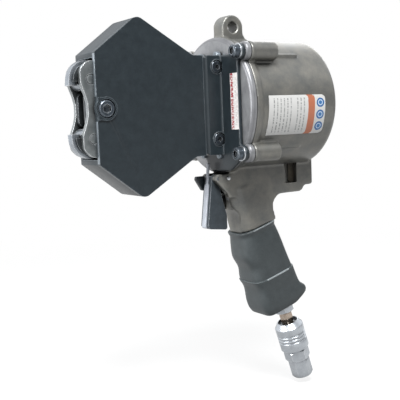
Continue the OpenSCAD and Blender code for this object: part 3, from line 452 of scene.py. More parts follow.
class Bench:
    """The modelling steps that every piece is made with, as done by hand in the viewport."""

    def clear(self) -> None:
        """Leaves edit mode and deselects everything."""
        if bpy.context.object and bpy.context.object.mode != "OBJECT":
            bpy.ops.object.mode_set(mode="OBJECT")
        bpy.ops.object.select_all(action="DESELECT")

    def pick(self, piece: Piece) -> None:
        """Makes one piece the only selected and active one."""
        self.clear()
        piece.select_set(True)
        bpy.context.view_layer.objects.active = piece

    def _settle(self, name: str) -> Piece:
        """Names the new primitive and puts its place into its mesh."""
        piece = bpy.context.object
        piece.name = piece.data.name = name
        bpy.ops.object.transform_apply(location=True, rotation=True, scale=True)
        return piece

    def block(self, name: str, low: Point, high: Point) -> Piece:
        """Adds a block between two corners in the tool's millimetres."""
        self.clear()
        size = [(h - l) * MM for l, h in zip(low, high)]
        centre = place(*[(l + h) / 2 for l, h in zip(low, high)])
        bpy.ops.mesh.primitive_cube_add(size=1, location=centre, scale=size)
        return self._settle(name)

    def rod(self, name: str, start: Point, end: Point, radius: float, sides: int = 64,
            tip: Optional[float] = None) -> Piece:
        """Adds a round or many-sided bar between two points.

        Args:
            name: The piece's name.
            start: Centre of the first end, in the tool's millimetres.
            end: Centre of the second end.
            radius: Radius at the first end.
            sides: Number of sides.
            tip: Radius at the second end, or the same.

        Returns:
            The new piece.
        """
        self.clear()
        a, b = place(*start), place(*end)
        turn = (b - a).to_track_quat("Z", "Y").to_euler()
        tip = radius if tip is None else tip
        bpy.ops.mesh.primitive_cone_add(vertices=sides, radius1=radius * MM, radius2=tip * MM,
                                        depth=(b - a).length, location=(a + b) / 2, rotation=turn)
        return self._settle(name)

    def across(self, name: str, x: float, z: float, y0: float, y1: float, radius: float,
               sides: int = 64) -> Piece:
        """Adds a round bar across the tool, from one Y to another."""
        return self.rod(name, (x, y0, z), (x, y1, z), radius, sides)

    def outline(self, name: str, points: Sequence[Vector]) -> Piece:
        """Adds a many-sided face and moves its corners onto an outline, given in metres."""
        self.clear()
        bpy.ops.mesh.primitive_circle_add(vertices=len(points), radius=0.01, fill_type="NGON")
        piece = bpy.context.object
        piece.name = piece.data.name = name
        for vertex, point in zip(piece.data.vertices, points):
            vertex.co = point
        piece.data.update()
        return piece

    def edit(self, piece: Piece, *steps: Callable[[], object]) -> None:
        """Runs edit-mode steps on the whole of one piece."""
        self.pick(piece)
        bpy.ops.object.mode_set(mode="EDIT")
        bpy.ops.mesh.select_all(action="SELECT")
        for step in steps:
            step()
        bpy.ops.object.mode_set(mode="OBJECT")

    def drawn(self, name: str, points: Sequence[Vector], shift: Vector) -> Piece:
        """Extrudes an outline by a shift, both given in metres."""
        piece = self.outline(name, points)
        self.edit(
            piece,
            lambda: bpy.ops.mesh.extrude_region_move(
                TRANSFORM_OT_translate={"value": tuple(shift)}),
            lambda: bpy.ops.mesh.select_all(action="SELECT"),
            lambda: bpy.ops.mesh.normals_make_consistent(inside=False))
        return piece

    def slab(self, name: str, shape: Outline, y0: float, y1: float) -> Piece:
        """Extrudes an outline in X and Z across the tool, from one Y to another."""
        return self.drawn(name, [place(x, y0, z) for x, z in shape],
                          Vector((0, (y1 - y0) * MM, 0)))

    def lathe(self, name: str, profile: Outline, origin: Point,
              axis: Vector, steps: int = 96) -> Piece:
        """Spins a closed profile about an axis.

        Args:
            name: The piece's name.
            profile: Distance along the axis and radius of each point, in millimetres.
            origin: The axis's starting point, in the tool's millimetres.
            axis: The axis's direction.
            steps: Segments of the full turn.

        Returns:
            The turned piece, closed and with its faces outwards.
        """
        start = place(*origin)
        along = axis.normalized()
        out = along.orthogonal().normalized()
        piece = self.outline(name, [start + along * (s * MM) + out * (max(r, 0) * MM)
                                    for s, r in profile])
        self.edit(
            piece,
            lambda: bpy.ops.mesh.delete(type="ONLY_FACE"),
            lambda: bpy.ops.mesh.select_all(action="SELECT"),
            lambda: bpy.ops.mesh.spin(steps=steps, angle=2 * math.pi, center=start, axis=along),
            lambda: bpy.ops.mesh.select_all(action="SELECT"),
            lambda: bpy.ops.mesh.remove_doubles(threshold=1e-6),
            lambda: bpy.ops.mesh.dissolve_degenerate(threshold=1e-7),
            lambda: bpy.ops.mesh.select_all(action="SELECT"),
            lambda: bpy.ops.mesh.normals_make_consistent(inside=False))
        return piece

    def apply(self, piece: Piece, kind: str, **settings: object) -> Piece:
        """Adds one modifier with its settings and applies it."""
        self.pick(piece)
        modifier = piece.modifiers.new("step", kind)
        for key, value in settings.items():
            setattr(modifier, key, value)
        bpy.ops.object.modifier_apply(modifier=modifier.name)
        return piece

    def ease(self, piece: Piece, width: float, segments: int = 2, angle: float = 32) -> Piece:
        """Rounds every sharp edge by a small width in millimetres."""
        return self.apply(piece, "BEVEL", width=width * MM, segments=segments,
                          limit_method="ANGLE", angle_limit=math.radians(angle),
                          use_clamp_overlap=True, harden_normals=False)

    def combine(self, piece: Piece, how: str, others: Iterable[Piece]) -> Piece:
        """Changes a piece by other solids, one after another, and removes them."""
        for other in others:
            self.apply(piece, "BOOLEAN", operation=how, solver="EXACT", object=other)
            bpy.data.objects.remove(other)
        return piece

    def cut(self, piece: Piece, *tools: Piece) -> Piece:
        """Takes tools away from a piece."""
        return self.combine(piece, "DIFFERENCE", tools)

    def weld(self, piece: Piece, *others: Piece) -> Piece:
        """Joins other solids to a piece as one solid."""
        return self.combine(piece, "UNION", others)

    def trim(self, piece: Piece, limit: Piece) -> Piece:
        """Keeps what lies inside another solid."""
        return self.combine(piece, "INTERSECT", [limit])

    def drill_bolts(self, piece: Piece, x0: float, x1: float) -> None:
        """Drills the holes of the cover's screws from one X to another."""
        for y, z in BOLTS:
            self.cut(piece, self.rod("hole", (x0, y, z), (x1, y, z), 3.1, 32))

    def gather(self, name: str, pieces: Sequence[Piece]) -> Piece:
        """Puts several meshes into one object without joining their surfaces."""
        self.clear()
        for piece in pieces:
            piece.select_set(True)
        bpy.context.view_layer.objects.active = pieces[0]
        if len(pieces) > 1:
            bpy.ops.object.join()
        pieces[0].name = pieces[0].data.name = name
        return pieces[0]

    def fuse(self, piece: Piece, voxel: float, passes: int) -> Piece:
        """Runs overlapping solids into one cast skin with soft fillets.

        Args:
            piece: The piece, made of closed solids.
            voxel: Mesh size in millimetres.
            passes: Smoothing passes, which set how wide the fillets are.

        Returns:
            The piece.
        """
        self.apply(piece, "REMESH", mode="VOXEL", voxel_size=voxel * MM)
        return self.apply(piece, "SMOOTH", factor=0.5, iterations=passes)

    def finish(self, piece: Piece, material: bpy.types.Material, slot: str,
               body: str, nodes: Sequence[str], angle: float) -> Piece:
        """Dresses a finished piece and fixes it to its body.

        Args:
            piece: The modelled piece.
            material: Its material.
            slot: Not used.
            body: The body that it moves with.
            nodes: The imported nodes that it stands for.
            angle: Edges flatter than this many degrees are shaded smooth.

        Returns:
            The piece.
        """
        self.pick(piece)
        bpy.ops.object.shade_smooth_by_angle(angle=math.radians(angle))
        piece.data.materials.clear()
        piece.data.materials.append(material)
        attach(piece, body)
        if nodes:
            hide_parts(*nodes)
        self.clear()
        log.info("%s: %d faces on %s", piece.name, len(piece.data.polygons), body)
        return piece


# ---------------------------------------------------------------- printed plates
@dataclass(frozen=True)
class PrintedFilm:
    """Polyester film printed with plain fields only: ruled lines, one band and plain discs."""

    name: str
    slot: str
    paper: str
    ink: str
    band: str
    band_from: float
    band_to: float
    columns: float
    discs: bool
    solid_band: bool = True

    def build(self) -> bpy.types.Material:
        """Builds the film's material on the plate's own UV map."""
        material = new_material(self.name)
        tree = material.node_tree
        shader = tree.nodes["Principled BSDF"]
        shader.inputs["Roughness"].default_value = 0.38
        shader.inputs["Coat Weight"].default_value = 0.2
        uv = add_node(tree, "ShaderNodeUVMap").outputs[0]
        split = add_node(tree, "ShaderNodeSeparateXYZ", links={0: uv})
        found = {"u": split.outputs[0], "v": split.outputs[1]}
        for name, how, first, second in self.sums():
            both = {0: first, 1: second}
            if how == "NOISE":
                spot = add_node(tree, "ShaderNodeCombineXYZ", links={
                    0: found[first], 1: found[second]}).outputs[0]
                found[name] = add_node(tree, "ShaderNodeTexNoise", values={
                    "Scale": 1.0, "Detail": 1.0}, links={"Vector": spot}).outputs["Fac"]
                continue
            found[name] = add_node(
                tree, "ShaderNodeMath", {"operation": how},
                {k: x for k, x in both.items() if not isinstance(x, str)},
                {k: found[x] for k, x in both.items() if isinstance(x, str)}).outputs[0]
        colour = add_node(tree, "ShaderNodeRGB").outputs[0]
        colour.default_value = linear(self.paper)
        for name, ink in self.layers():
            colour = add_node(tree, "ShaderNodeMix", {"data_type": "RGBA"}, {7: linear(ink)},
                              {0: found[name], 6: colour}).outputs[2]
        tree.links.new(colour, shader.inputs["Base Color"])
        return material

    def layers(self) -> list[tuple[str, str]]:
        """Gives the printed layers from the bottom up, as a sum's name and an ink."""
        discs = [(f"disc{k}{ring}", ink) for k in range(3) if self.discs
                 for ring, ink in enumerate(("#2b66a3", "#c3d8ee", "#4079b3"))]
        return [("marks", self.ink), ("band", self.band)] + discs

    def sums(self) -> list[tuple[str, str, object, object]]:
        """Gives each sum's name, its operation and its two inputs, in the order of their making."""
        start = self.band_from
        rows: list[tuple[str, str, object, object]] = [
            # ruled lines, broken by a noise that changes from line to line
            ("count", "MULTIPLY", "u", self.columns), ("phase", "FRACT", "count", 0.0),
            ("line", "FLOOR", "count", 0.0), ("along", "MULTIPLY", "v", 26.0),
            ("noise", "NOISE", "line", "along"), ("dash", "GREATER_THAN", "noise", 0.48),
            ("after", "GREATER_THAN", "phase", 0.34), ("before", "LESS_THAN", "phase", 0.66),
            ("stroke", "MULTIPLY", "after", "before"), ("broken", "MULTIPLY", "stroke", "dash"),
            # margins and the gap between the two groups of lines
            ("left", "GREATER_THAN", "u", 0.05), ("right", "LESS_THAN", "u", start - 0.03),
            ("foot", "GREATER_THAN", "v", 0.07), ("head", "LESS_THAN", "v", 0.93),
            ("wide", "MULTIPLY", "left", "right"), ("high", "MULTIPLY", "foot", "head"),
            ("field", "MULTIPLY", "wide", "high"), ("past", "GREATER_THAN", "u", start * 0.58),
            ("short", "LESS_THAN", "u", start * 0.66), ("gap", "MULTIPLY", "past", "short"),
            ("solid", "SUBTRACT", 1.0, "gap"), ("inside", "MULTIPLY", "field", "solid"),
            ("full", "MULTIPLY", "broken", "inside"), ("marks", "MULTIPLY", "full", 0.62),
            # the coloured band
            ("from", "GREATER_THAN", "u", start), ("to", "LESS_THAN", "u", self.band_to),
            ("stripe", "MULTIPLY", "from", "to"),
            ("band", "MULTIPLY", "stripe", 1.0 if self.solid_band else "dash")]
        if self.discs:
            # the discs stand in the strip beyond the band; v is shorter than u on the plate
            rows.append(("du", "SUBTRACT", "u", (self.band_to + 1.0) / 2 + 0.004))
            rows.append(("du2", "MULTIPLY", "du", "du"))
            for k, centre in enumerate((0.2, 0.5, 0.8)):
                rows += [(f"dv{k}", "SUBTRACT", "v", centre), (f"sv{k}", "MULTIPLY", f"dv{k}", 0.6),
                         (f"sq{k}", "MULTIPLY", f"sv{k}", f"sv{k}"),
                         (f"far{k}", "ADD", "du2", f"sq{k}")]
                rows += [(f"disc{k}{ring}", "LESS_THAN", f"far{k}", radius ** 2)
                         for ring, radius in enumerate((0.070, 0.046, 0.030))]
        return rows


DATA_FILM = PrintedFilm("printed_polyester_film", "plate_film", "#dededc", "#34373c", "#c07658",
                        0.69, 0.81, 17.0, True)
BRACKET_FILM = PrintedFilm("printed_edge_film", "plate_film", "#ece8e6", "#46464c", "#a8323c",
                           0.62, 0.94, 6.0, False, False)


# ---------------------------------------------------------------- sub-assemblies
@dataclass
class Workshop:
    """What every sub-assembly needs: the bench and the finishes."""

    bench: Bench = field(default_factory=Bench)
    paint: Paintbox = field(default_factory=Paintbox)

    def dress(self, piece: Piece, finish: Finish, body: str, *nodes: str,
              angle: float = 34) -> Piece:
        """Finishes a piece with one of the finishes."""
        return self.bench.finish(piece, self.paint.get(finish), finish.slot, body, nodes, angle)

    def coat(self, frame: dict, finish: Finish, *nodes: str) -> None:
        """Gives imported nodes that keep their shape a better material."""
        for name in nodes:
            node = frame["nodes"][name]
            node.data.materials.clear()
            node.data.materials.append(self.paint.get(finish))


@dataclass
class Head:
    """The flat hexagonal head: cover plate, housing, its screws and the bracket behind it."""

    shop: Workshop
    half: float = 17.6
    nose_x: float = -112.2
    apex_x: float = -76.3
    neck_x: float = -28.5
    rear_x: float = -19.5
    nose_h: float = 41.6
    apex_h: float = 69.2
    neck_h: float = 39.6
    wall: float = 3.2
    boss_r: float = 8.75
    tongue_h: float = 34.7
    edge: float = 0.9
    # how far the sloping corners move for each millimetre of inset
    nose_slope: float = 1.26
    apex_slope: float = 1.21

    def shape(self, inset: float = 0.0) -> Outline:
        """Gives the head's outline, moved inwards by some millimetres."""
        upper = [(self.nose_x, self.nose_h - inset * self.nose_slope, 0.0 if inset else 1.2),
                 (self.apex_x, self.apex_h - inset * self.apex_slope, max(7 - inset, 1.0)),
                 (self.neck_x, self.neck_h - inset, 4.0),
                 (self.rear_x, self.neck_h - inset, 0.0)]
        lower = [(x, -z, r) for x, z, r in reversed(upper)]
        return rounded(upper + lower, 8)

    def cover_plate(self) -> None:
        """Makes the near cover plate with its raised boss and the screw's recess."""
        bench, face = self.shop.bench, -self.half
        plate = bench.slab("cover_plate", self.shape(), face, -INNER)
        tongue = bench.block("tongue", (self.neck_x, -INNER - 1, -self.tongue_h),
                             (-3.4, -TIE_Y, self.tongue_h))
        block = bench.block("block", (self.nose_x + 0.5, face - 1.2, -8.3),
                            (NOSE_SCREW_X, face + 2, 8.3))
        boss = bench.across("boss", NOSE_SCREW_X, 0, face - 1.2, face + 2, self.boss_r, 72)
        bench.weld(plate, tongue, block, boss)
        bench.cut(plate, bench.across("recess", NOSE_SCREW_X, 0, face - 3, face + 2, 7.2, 72),
                  bench.across("through", NOSE_SCREW_X, 0, face - 3, 0, NOSE_SCREW_R, 40))
        bench.ease(plate, self.edge, 3)
        # pale strips along the front edges: a painted highlight where the edges catch the light
        highlight_strips = [bench.block("front_edge", (self.nose_x - 0.08, face + 0.5, z0),
                              (self.nose_x + 0.8, -INNER - 0.3, z1))
                  for z0, z1 in ((9.2, self.nose_h - 0.9), (0.9 - self.nose_h, -9.2))]
        highlight_strips = bench.ease(bench.gather("front_edges", highlight_strips), 0.2, 2)
        self.shop.dress(highlight_strips, EDGE_HIGHLIGHT, "frame")
        self.shop.dress(plate, BLACK_COAT, "frame", "near_cover_plate")

    def housing(self) -> None:
        """Makes the far plate with the walls that run round the jaws."""
        bench = self.shop.bench
        body = bench.slab("head_housing", self.shape(), -INNER + 0.02, self.half)
        hollow = bench.slab("hollow", self.shape(self.wall), -INNER - 1, INNER)
        mouth_h = self.nose_h - self.wall * self.nose_slope
        mouth = bench.block("mouth", (self.nose_x - 4, -INNER - 1, -mouth_h),
                            (self.nose_x + 6, INNER, mouth_h))
        back_h = self.neck_h - self.wall
        back = bench.block("back", (self.rear_x - 6, -INNER - 1, -back_h),
                           (self.rear_x + 4, INNER, back_h))
        boss = bench.across("boss", NOSE_SCREW_X, 0, self.half - 2, self.half + 1.2,
                            self.boss_r, 72)
        tongue = bench.block("tongue", (self.neck_x, TIE_Y, -self.tongue_h),
                             (-3.4, INNER + 1, self.tongue_h))
        bench.cut(body, hollow, mouth, back)
        bench.weld(body, boss, tongue)
        bench.cut(body, bench.across("through", NOSE_SCREW_X, 0, self.half - 5, self.half + 3,
                                     NOSE_SCREW_R, 40))
        bench.ease(body, self.edge, 3)
        self.shop.dress(body, BLACK_COAT, "frame", "far_housing")

    def screws(self) -> None:
        """Makes the nose screw and the four screws in the bracket's sides."""
        bench = self.shop.bench
        seat = -self.half + 2
        head = bench.lathe("head_screw", [(0, 0), (0, 5.6), (0.9, 6.7), (3.6, 6.7), (3.6, 4),
                                          (35, 4), (35, 0)],
                           (NOSE_SCREW_X, seat - 3.6, 0), Vector((0, 1, 0)), 64)
        bench.cut(head, bench.across("socket", NOSE_SCREW_X, 0, seat - 5, seat - 1.2, 3.5, 6))
        bench.ease(head, 0.18, 2)
        self.shop.dress(head, BLACK_OXIDE, "frame", "head_screw")
        made = []
        for side, z in SIDE_SCREWS:
            y = side * self.half
            screw = bench.lathe("side_screw", [(-0.2, 0), (-0.2, 4.6), (0.4, 5.2), (2.6, 5.2),
                                               (2.6, 2.5), (7.2, 2.5), (7.2, 0)],
                                (SIDE_SCREW_X, y, z), Vector((0, -side, 0)), 48)
            bench.cut(screw, bench.across("socket", SIDE_SCREW_X, z, y + side, y - side * 1.6,
                                          2.1, 6))
            made.append(screw)
        screws = bench.gather("side_screws_set", made)
        bench.ease(screws, 0.12, 2)
        self.shop.dress(screws, BLACK_OXIDE, "frame", "side_screws")

    def bracket(self) -> None:
        """Makes the bracket: box, stepped collar, flange plate with ears and lower lobe."""
        bench = self.shop.bench
        box = bench.block("bracket", (-16, -self.half, -self.neck_h), (0, self.half, self.neck_h))
        collar = bench.block("collar", (self.rear_x + 0.2, -self.half + 1, -self.neck_h + 1),
                             (-15, self.half - 1, self.neck_h - 1))
        plate = bench.block("plate", (-3, -41, -self.neck_h), (0, 41, self.neck_h))
        ears = [bench.rod("ear", (-3, y, z), (0, y, z), 6.3, 56) for y, z in BOLTS]
        edge = [(-40, -43.4, 4), (-26, -52.4, 12), (4, -53.6, 9), (11.5, -42, 5), (11.5, -30, 0),
                (-41, -30, 0)]
        lobe = bench.drawn("lobe", [place(-3, y, z) for y, z in rounded(edge)],
                           Vector((3 * MM, 0, 0)))
        box = bench.gather("bracket", [box, collar, plate, lobe, *ears])
        bench.fuse(box, 0.7, 3)
        bench.cut(box, bench.block("inside", (-21, -INNER - 0.1, -34.8), (-3, INNER + 0.1, 34.8)),
                  bench.rod("pilot", (-17, 0, 0), (1, 0, 0), 14.9, 64))
        for side, z in SIDE_SCREWS:
            y = side * self.half
            bench.cut(box, bench.across("ring", SIDE_SCREW_X, z, y + side * 2, y - side * 2.4,
                                        5.4, 48))
        bench.drill_bolts(box, -4, 1)
        # turned rims round the side screws, and pale pads above and below the box as a painted
        # highlight on its fillets
        rims = [bench.lathe("rim", [(-0.5, 5.45), (-0.5, 6.1), (0.1, 6.6), (1.5, 6.6), (1.5, 5.45)],
                            (SIDE_SCREW_X, side * self.half, z), Vector((0, -side, 0)), 56)
                for side, z in SIDE_SCREWS]
        highlight_pads = [bench.rod("pad", (-5.2, side * 12.5, z), (-0.6, side * 12.5, z), 3.2, 40)
                for side in (-1, 1) for z in (39.9, -39.9)]
        rims = bench.ease(bench.gather("bracket_rims", rims), 0.35, 2)
        self.shop.dress(rims, BLACK_COAT, "frame")
        highlight_pads = bench.ease(bench.gather("bracket_pads", highlight_pads), 0.8, 3)
        self.shop.dress(highlight_pads, EDGE_HIGHLIGHT, "frame")
        self.shop.dress(box, BLACK_COAT, "frame", "head_bracket", angle=40)

    def build(self) -> None:
        """Makes the whole head."""
        self.cover_plate()
        self.housing()
        self.screws()
        self.bracket()


@dataclass
class Jaws:
    """The jaws, the shorter plates beside them, the tie plates and the anvil between."""

    shop: Workshop
    pivot_x: float = -114.0
    pivot_h: float = 22.0
    lobe_x: float = -111.3
    lobe_z: float = 24.6
    lobe_r: float = 11.2
    waist: float = -117.6
    rear: float = -96.8
    # the arm's far pin about the pivot
    tail: tuple[float, float] = (34, 10)

    def tie_shape(self) -> Outline:
        """Gives the outline of a tie plate: two round lobes and a waist between them."""
        x, z, r = self.lobe_x, self.lobe_z, self.lobe_r
        upper = [(self.waist, 4, 12), (self.waist - 1.4, 10, 10), (x - r, z - 5, 7),
                 (x - r, z + 5, 6), (x - 5, z + r, 8), (x + 6, z + r, 6), (self.rear, z + 2, 5)]
        return rounded(upper + [(a, -b, c) for a, b, c in reversed(upper)], 8)

    def tie_plates(self) -> None:
        """Makes both tie plates with a fine gap round each jaw pin."""
        bench = self.shop.bench
        for side, node in ((-1, "near_tie_plate"), (1, "far_tie_plate")):
            y0, y1 = sorted((side * INNER, side * TIE_Y))
            plate = bench.slab(node + "_made", self.tie_shape(), y0, y1)
            for x, z, radius, steps in ((self.pivot_x, self.pivot_h, 3.75, 56),
                                        (self.pivot_x, -self.pivot_h, 3.75, 56),
                                        (NOSE_SCREW_X, 0, NOSE_SCREW_R, 40)):
                bench.cut(plate, bench.across("hole", x, z, y0 - 1, y1 + 1, radius, steps))
            bench.ease(plate, 0.9, 3)
            self.shop.dress(plate, GROUND_STEEL, "frame", node)
        pins = [bench.across("pin", self.pivot_x, z, -INNER, INNER, 3.5, 56)
                for z in (self.pivot_h, -self.pivot_h)]
        pins = bench.gather("jaw_pins_pair", pins)
        bench.ease(pins, 0.5, 2)
        self.shop.dress(pins, PIN_FACE, "frame", "jaw_pins")

    def anvil(self) -> None:
        """Makes the anvil block with the channel between its two lands."""
        bench = self.shop.bench
        a, r = self.waist, self.rear - 1
        block = bench.slab("anvil", [(a, -9.5), (a + 2, -12.5), (r, -12.5), (r, 12.5),
                                     (a + 2, 12.5), (a, 9.5)], -TIE_Y, TIE_Y)
        bench.cut(block, bench.block("channel", (a - 1, -4.9, -14), (a + 7, 4.9, 14)),
                  bench.across("hole", NOSE_SCREW_X, 0, -11, 11, NOSE_SCREW_R, 40))
        bench.ease(block, 0.5, 2)
        self.shop.dress(block, NOTCHER_STEEL, "frame", "anvil_block")

    def hook(self, radius: float, drop: float, thick: float) -> Outline:
        """Gives the outline of a hooked nose about its pivot, in millimetres."""
        start, end = math.pi + math.asin(drop / radius), math.radians(40)
        outer = [(radius * math.cos(start + (end - start) * i / 40),
                  radius * math.sin(start + (end - start) * i / 40)) for i in range(41)]
        inner = radius - thick
        low = math.asin(drop / inner)
        hook = [(inner * math.cos(math.pi + low * k), inner * math.sin(math.pi + low * k))
                for k in (0.2, 0.6, 1.0)]
        # the tip ends in a sharp corner, square to the strap
        tip = [(-radius - 0.5, -drop), (-radius - 0.1, 0.0)]
        return (tip + outer[round(len(outer) * drop / 60) + 4:] + [(12, 0)]
                + arc(8.2, range(0, -151, -10)) + hook)

    def jaw(self, name: str, up: int, tail_half: float) -> None:
        """Makes one jaw with its arm, and the notcher plates beside it.

        Args:
            name: The jaw's node.
            up: 1 for the upper jaw and -1 for the lower.
            tail_half: Half the arm's width.
        """
        bench = self.shop.bench
        px, pz = self.pivot_x, self.pivot_h

        def put(points: Outline) -> Outline:
            """Moves points about the pivot into the tool, turned over for the lower jaw."""
            return [(px + u, up * (pz + w)) for u, w in points]

        nose = bench.slab(name + "_made", put(self.hook(14.6, 4.1, 5.2)), -7.1, 7.1)
        length, angle = math.hypot(*self.tail), math.atan2(self.tail[1], self.tail[0])
        bar = [(-5.5, 6.2), (-5.5, -6.2)] + [(length + u, w)
                                             for u, w in arc(7, range(-100, 101, 10))]
        turned = [(u * math.cos(angle) - w * math.sin(angle),
                   u * math.sin(angle) + w * math.cos(angle)) for u, w in bar]
        bench.weld(nose, bench.slab("arm", put(turned), -tail_half, tail_half))
        for (dx, dz), radius in (((0, 0), 3.55), (self.tail, 3.0)):
            bench.cut(nose, bench.across("hole", px + dx, up * (pz + dz), -9, 9, radius, 48))
        # the strap's groove in the inner face, and the far half set back outside it
        for label, angles, far, near, y1 in (("groove", range(168, 23, -6), 16, 10.8, 5.6),
                                             ("set_back", range(216, 12, -7), 17, 12, 8.0)):
            band = arc(far, angles) + arc(near, reversed(angles))
            bench.cut(nose, bench.slab(label, put(band), 0.8, y1))
        bench.ease(nose, 0.5, 3)
        self.shop.dress(nose, JAW_STEEL, name + "_body", name)
        cheeks = []
        for side in (-1, 1):
            y0, y1 = sorted((side * 7.15, side * 9.3))
            reach = 12.2 if side < 0 else 10.2
            cheek = bench.slab("cheek", put(self.hook(reach, 1.2, 4.4)), y0, y1)
            bench.cut(cheek, bench.across("hole", px, up * pz, y0 - 1, y1 + 1, 3.55, 48))
            cheeks.append(cheek)
        pair = bench.gather(name.replace("jaw", "notchers") + "_made", cheeks)
        bench.ease(pair, 0.35, 2)
        self.shop.dress(pair, NOTCHER_STEEL, name + "_body", name.replace("jaw", "notchers"))

    def build(self) -> None:
        """Makes everything in the nose."""
        self.tie_plates()
        self.anvil()
        self.jaw("upper_jaw", 1, 4.1)
        self.jaw("lower_jaw", -1, 7.1)


@dataclass
class Cylinder:
    """The air cylinder's casting with its cover, screws and washers."""

    shop: Workshop
    cover_r: float = 55.4
    barrel_r: float = 52.9
    barrel_len: float = 82.0
    dome: float = 17.4
    half: float = 14.5
    cheek: float = 11.0
    eye_half: float = 7.25

    def housing_shape(self) -> Outline:
        """Gives the side view of the trigger cheeks, the valve block and the upper grip."""
        back_z, front_z = (GRIP_Z + (x - GRIP_X) * math.tan(RAKE) for x in (49.5, 16.4))
        return rounded([
            (8.6, -44, 0), (8.6, -55.8, 0), (-5.4, -55.8, 1.6), (-9.2, -58.9, 2.2),
            (-2.4, -66.2, 6), (3.4, -72.4, 6), (6.4, -80.5, 6), (15.4, -91, 10),
            (16.4, front_z, 0), (49.5, back_z, 0), (47, -88.5, 8), (46.2, -77.5, 9.5),
            (60, -75.9, 6), (77, -75.6, 5), (81.5, -70.4, 2), (89.4, -70.4, 1.8),
            (89.8, -44, 0)], 8)

    def casting(self) -> None:
        """Casts barrel, bosses, eye and housing as one skin, then machines its holes."""
        bench = self.shop.bench
        profile = [(5, 0), (5, self.cover_r), (9.2, self.cover_r),
                   (10.6, self.cover_r - 0.5), (12.6, self.barrel_r + 0.6), (14.2, self.barrel_r)]
        profile += [(self.barrel_len + self.dome * math.sin(t), self.barrel_r * math.cos(t))
                    for t in (math.radians(90 * k / 24) for k in range(25))]
        parts = [bench.lathe("casting", profile, (0, 0, 0), REARWARD, 128)]
        for y, z in BOLTS:
            parts.append(bench.rod("boss", (5, y, z), (31, y, z), 7.5, 64))
            parts.append(bench.rod("ear", (5, y, z), (8.2, y, z), 8.0, 64))
            side = -1 if y < 0 else 1
            rib_z = 37.0 if z > 0 else -36.4
            y0, y1 = sorted((side * 40.2, side * 29.0))
            parts.append(bench.block("rib", (30, y0, rib_z), (57, y1, rib_z + 2)))
        half = self.eye_half
        parts.append(bench.across("eye", EYE_X, EYE_Z, -half, half, 10.0, 72))
        parts.append(bench.slab("eye_foot", [(7.1, 45), (7.1, 63.4), (27.1, 63.4), (27.1, 58.4),
                                             (29, 54.9), (32.8, 52.5), (32.8, 45)], -half, half))
        housing = bench.slab("housing", self.housing_shape(), -self.half, self.half)
        # the upper grip is rounded along its rake, wide in front and tighter behind
        c, rise = math.cos(RAKE), math.sin(RAKE)
        plan = rounded([(-17.8, -self.half, 12), (30, -self.half, 7), (30, self.half, 7),
                        (-17.8, self.half, 12)], 8)
        limit = bench.drawn("limit", [on_grip(a, y, -38) for a, y in plan],
                            Vector((52 * rise * MM, 0, -52 * c * MM)))
        sides = [(-14, -self.cheek, 0), (-3, -self.cheek, 30), (22, -self.half, 30),
                 (92, -self.half, 0)]
        sides += [(x, -y, r) for x, y, r in reversed(sides)]
        bench.weld(limit, bench.drawn("upper", [place(x, y, -76) for x, y in rounded(sides, 8)],
                                      Vector((0, 0, 46 * MM))))
        bench.trim(housing, limit)
        parts.append(housing)
        skin = bench.gather("casting_skin", parts)
        bench.fuse(skin, 0.95, 4)
        # the trigger's slot, the exhaust recess, the bore and the drilled holes
        bench.cut(skin, bench.block("slot", (-14, -6.1, -92), (12, 6.1, -55.4)))
        recess = bench.drawn("recess", [place(x, y, -67.6) for x, y in rounded([
            (57, -15.6, 0), (66, -10.4, 6), (72.6, -9.6, 1.5), (72.6, -15.6, 0)], 6)],
            Vector((0, 0, 22 * MM)))
        bench.ease(recess, 1.2, 3)
        bench.cut(skin, recess,
                  bench.rod("bore", (4, 0, 0), (84, 0, 0), 46.5, 96),
                  bench.rod("pocket", (83, 0, 0), (91.5, 0, 0), 30, 64),
                  bench.across("eye_bore", EYE_X, EYE_Z, -9, 9, 4.6, 56),
                  bench.rod("valve", (8, 0, -72), (50, 0, -72), 7.0, 40))
        for side in (-1, 1):
            bench.cut(skin, bench.rod("chamfer", (EYE_X, side * (half + 0.4), EYE_Z),
                                      (EYE_X, side * (half - 0.8), EYE_Z), 5.8, 56, 4.5))
        bench.drill_bolts(skin, 4, 24)
        self.shop.dress(skin, CAST_BODY, "frame", "main_casting", angle=40)
        # the far lug is cast metal, given black enamel as painted shade where the far cheek lies in
        # shadow
        lug = bench.slab("far_lug_painted_shade", [(-14.6, -57.6), (-15.4, -60.2), (-9.5, -69.5), (-2, -69.5),
                                     (-2, -57.6)], 6.8, 11)
        bench.ease(lug, 0.7, 3)
        self.shop.dress(lug, BLACK_COAT, "frame")
        dowel = bench.across("dowel_pin_made", 4, -59.4, -12.9, 12.9, 1.7, 32)
        bench.ease(dowel, 0.4, 2)
        self.shop.dress(dowel, PIN_STEEL, "frame", "dowel_pin")

    def cover(self) -> None:
        """Makes the front cover with its four ears and the pilot in front."""
        bench = self.shop.bench

        def round_edge(radius: float, soft: float) -> Outline:
            """Gives half the section of a disc whose front edge is rounded."""
            return [(0, 0)] + [(soft - u, radius - soft + w)
                               for u, w in arc(soft, range(0, 91, 15))] + [(4.5, radius), (4.5, 0)]

        disc = bench.lathe("front_disc", round_edge(self.cover_r, 3.4), (0, 0, 0), REARWARD, 128)
        ears = [bench.lathe("ear", round_edge(7.5, 2.4), (0, y, z), REARWARD, 64)
                for y, z in BOLTS]
        bench.weld(disc, *ears, bench.rod("pilot", (-2.9, 0, 0), (1, 0, 0), 14.8, 64),
                   bench.rod("hub", (3, 0, 0), (14, 0, 0), 18, 64))
        bench.cut(disc, bench.rod("bore", (-4, 0, 0), (16, 0, 0), 12, 56))
        bench.drill_bolts(disc, -1, 6)
        bench.ease(disc, 0.8, 3)
        self.shop.dress(disc, CAST_COVER, "frame", "front_cover")

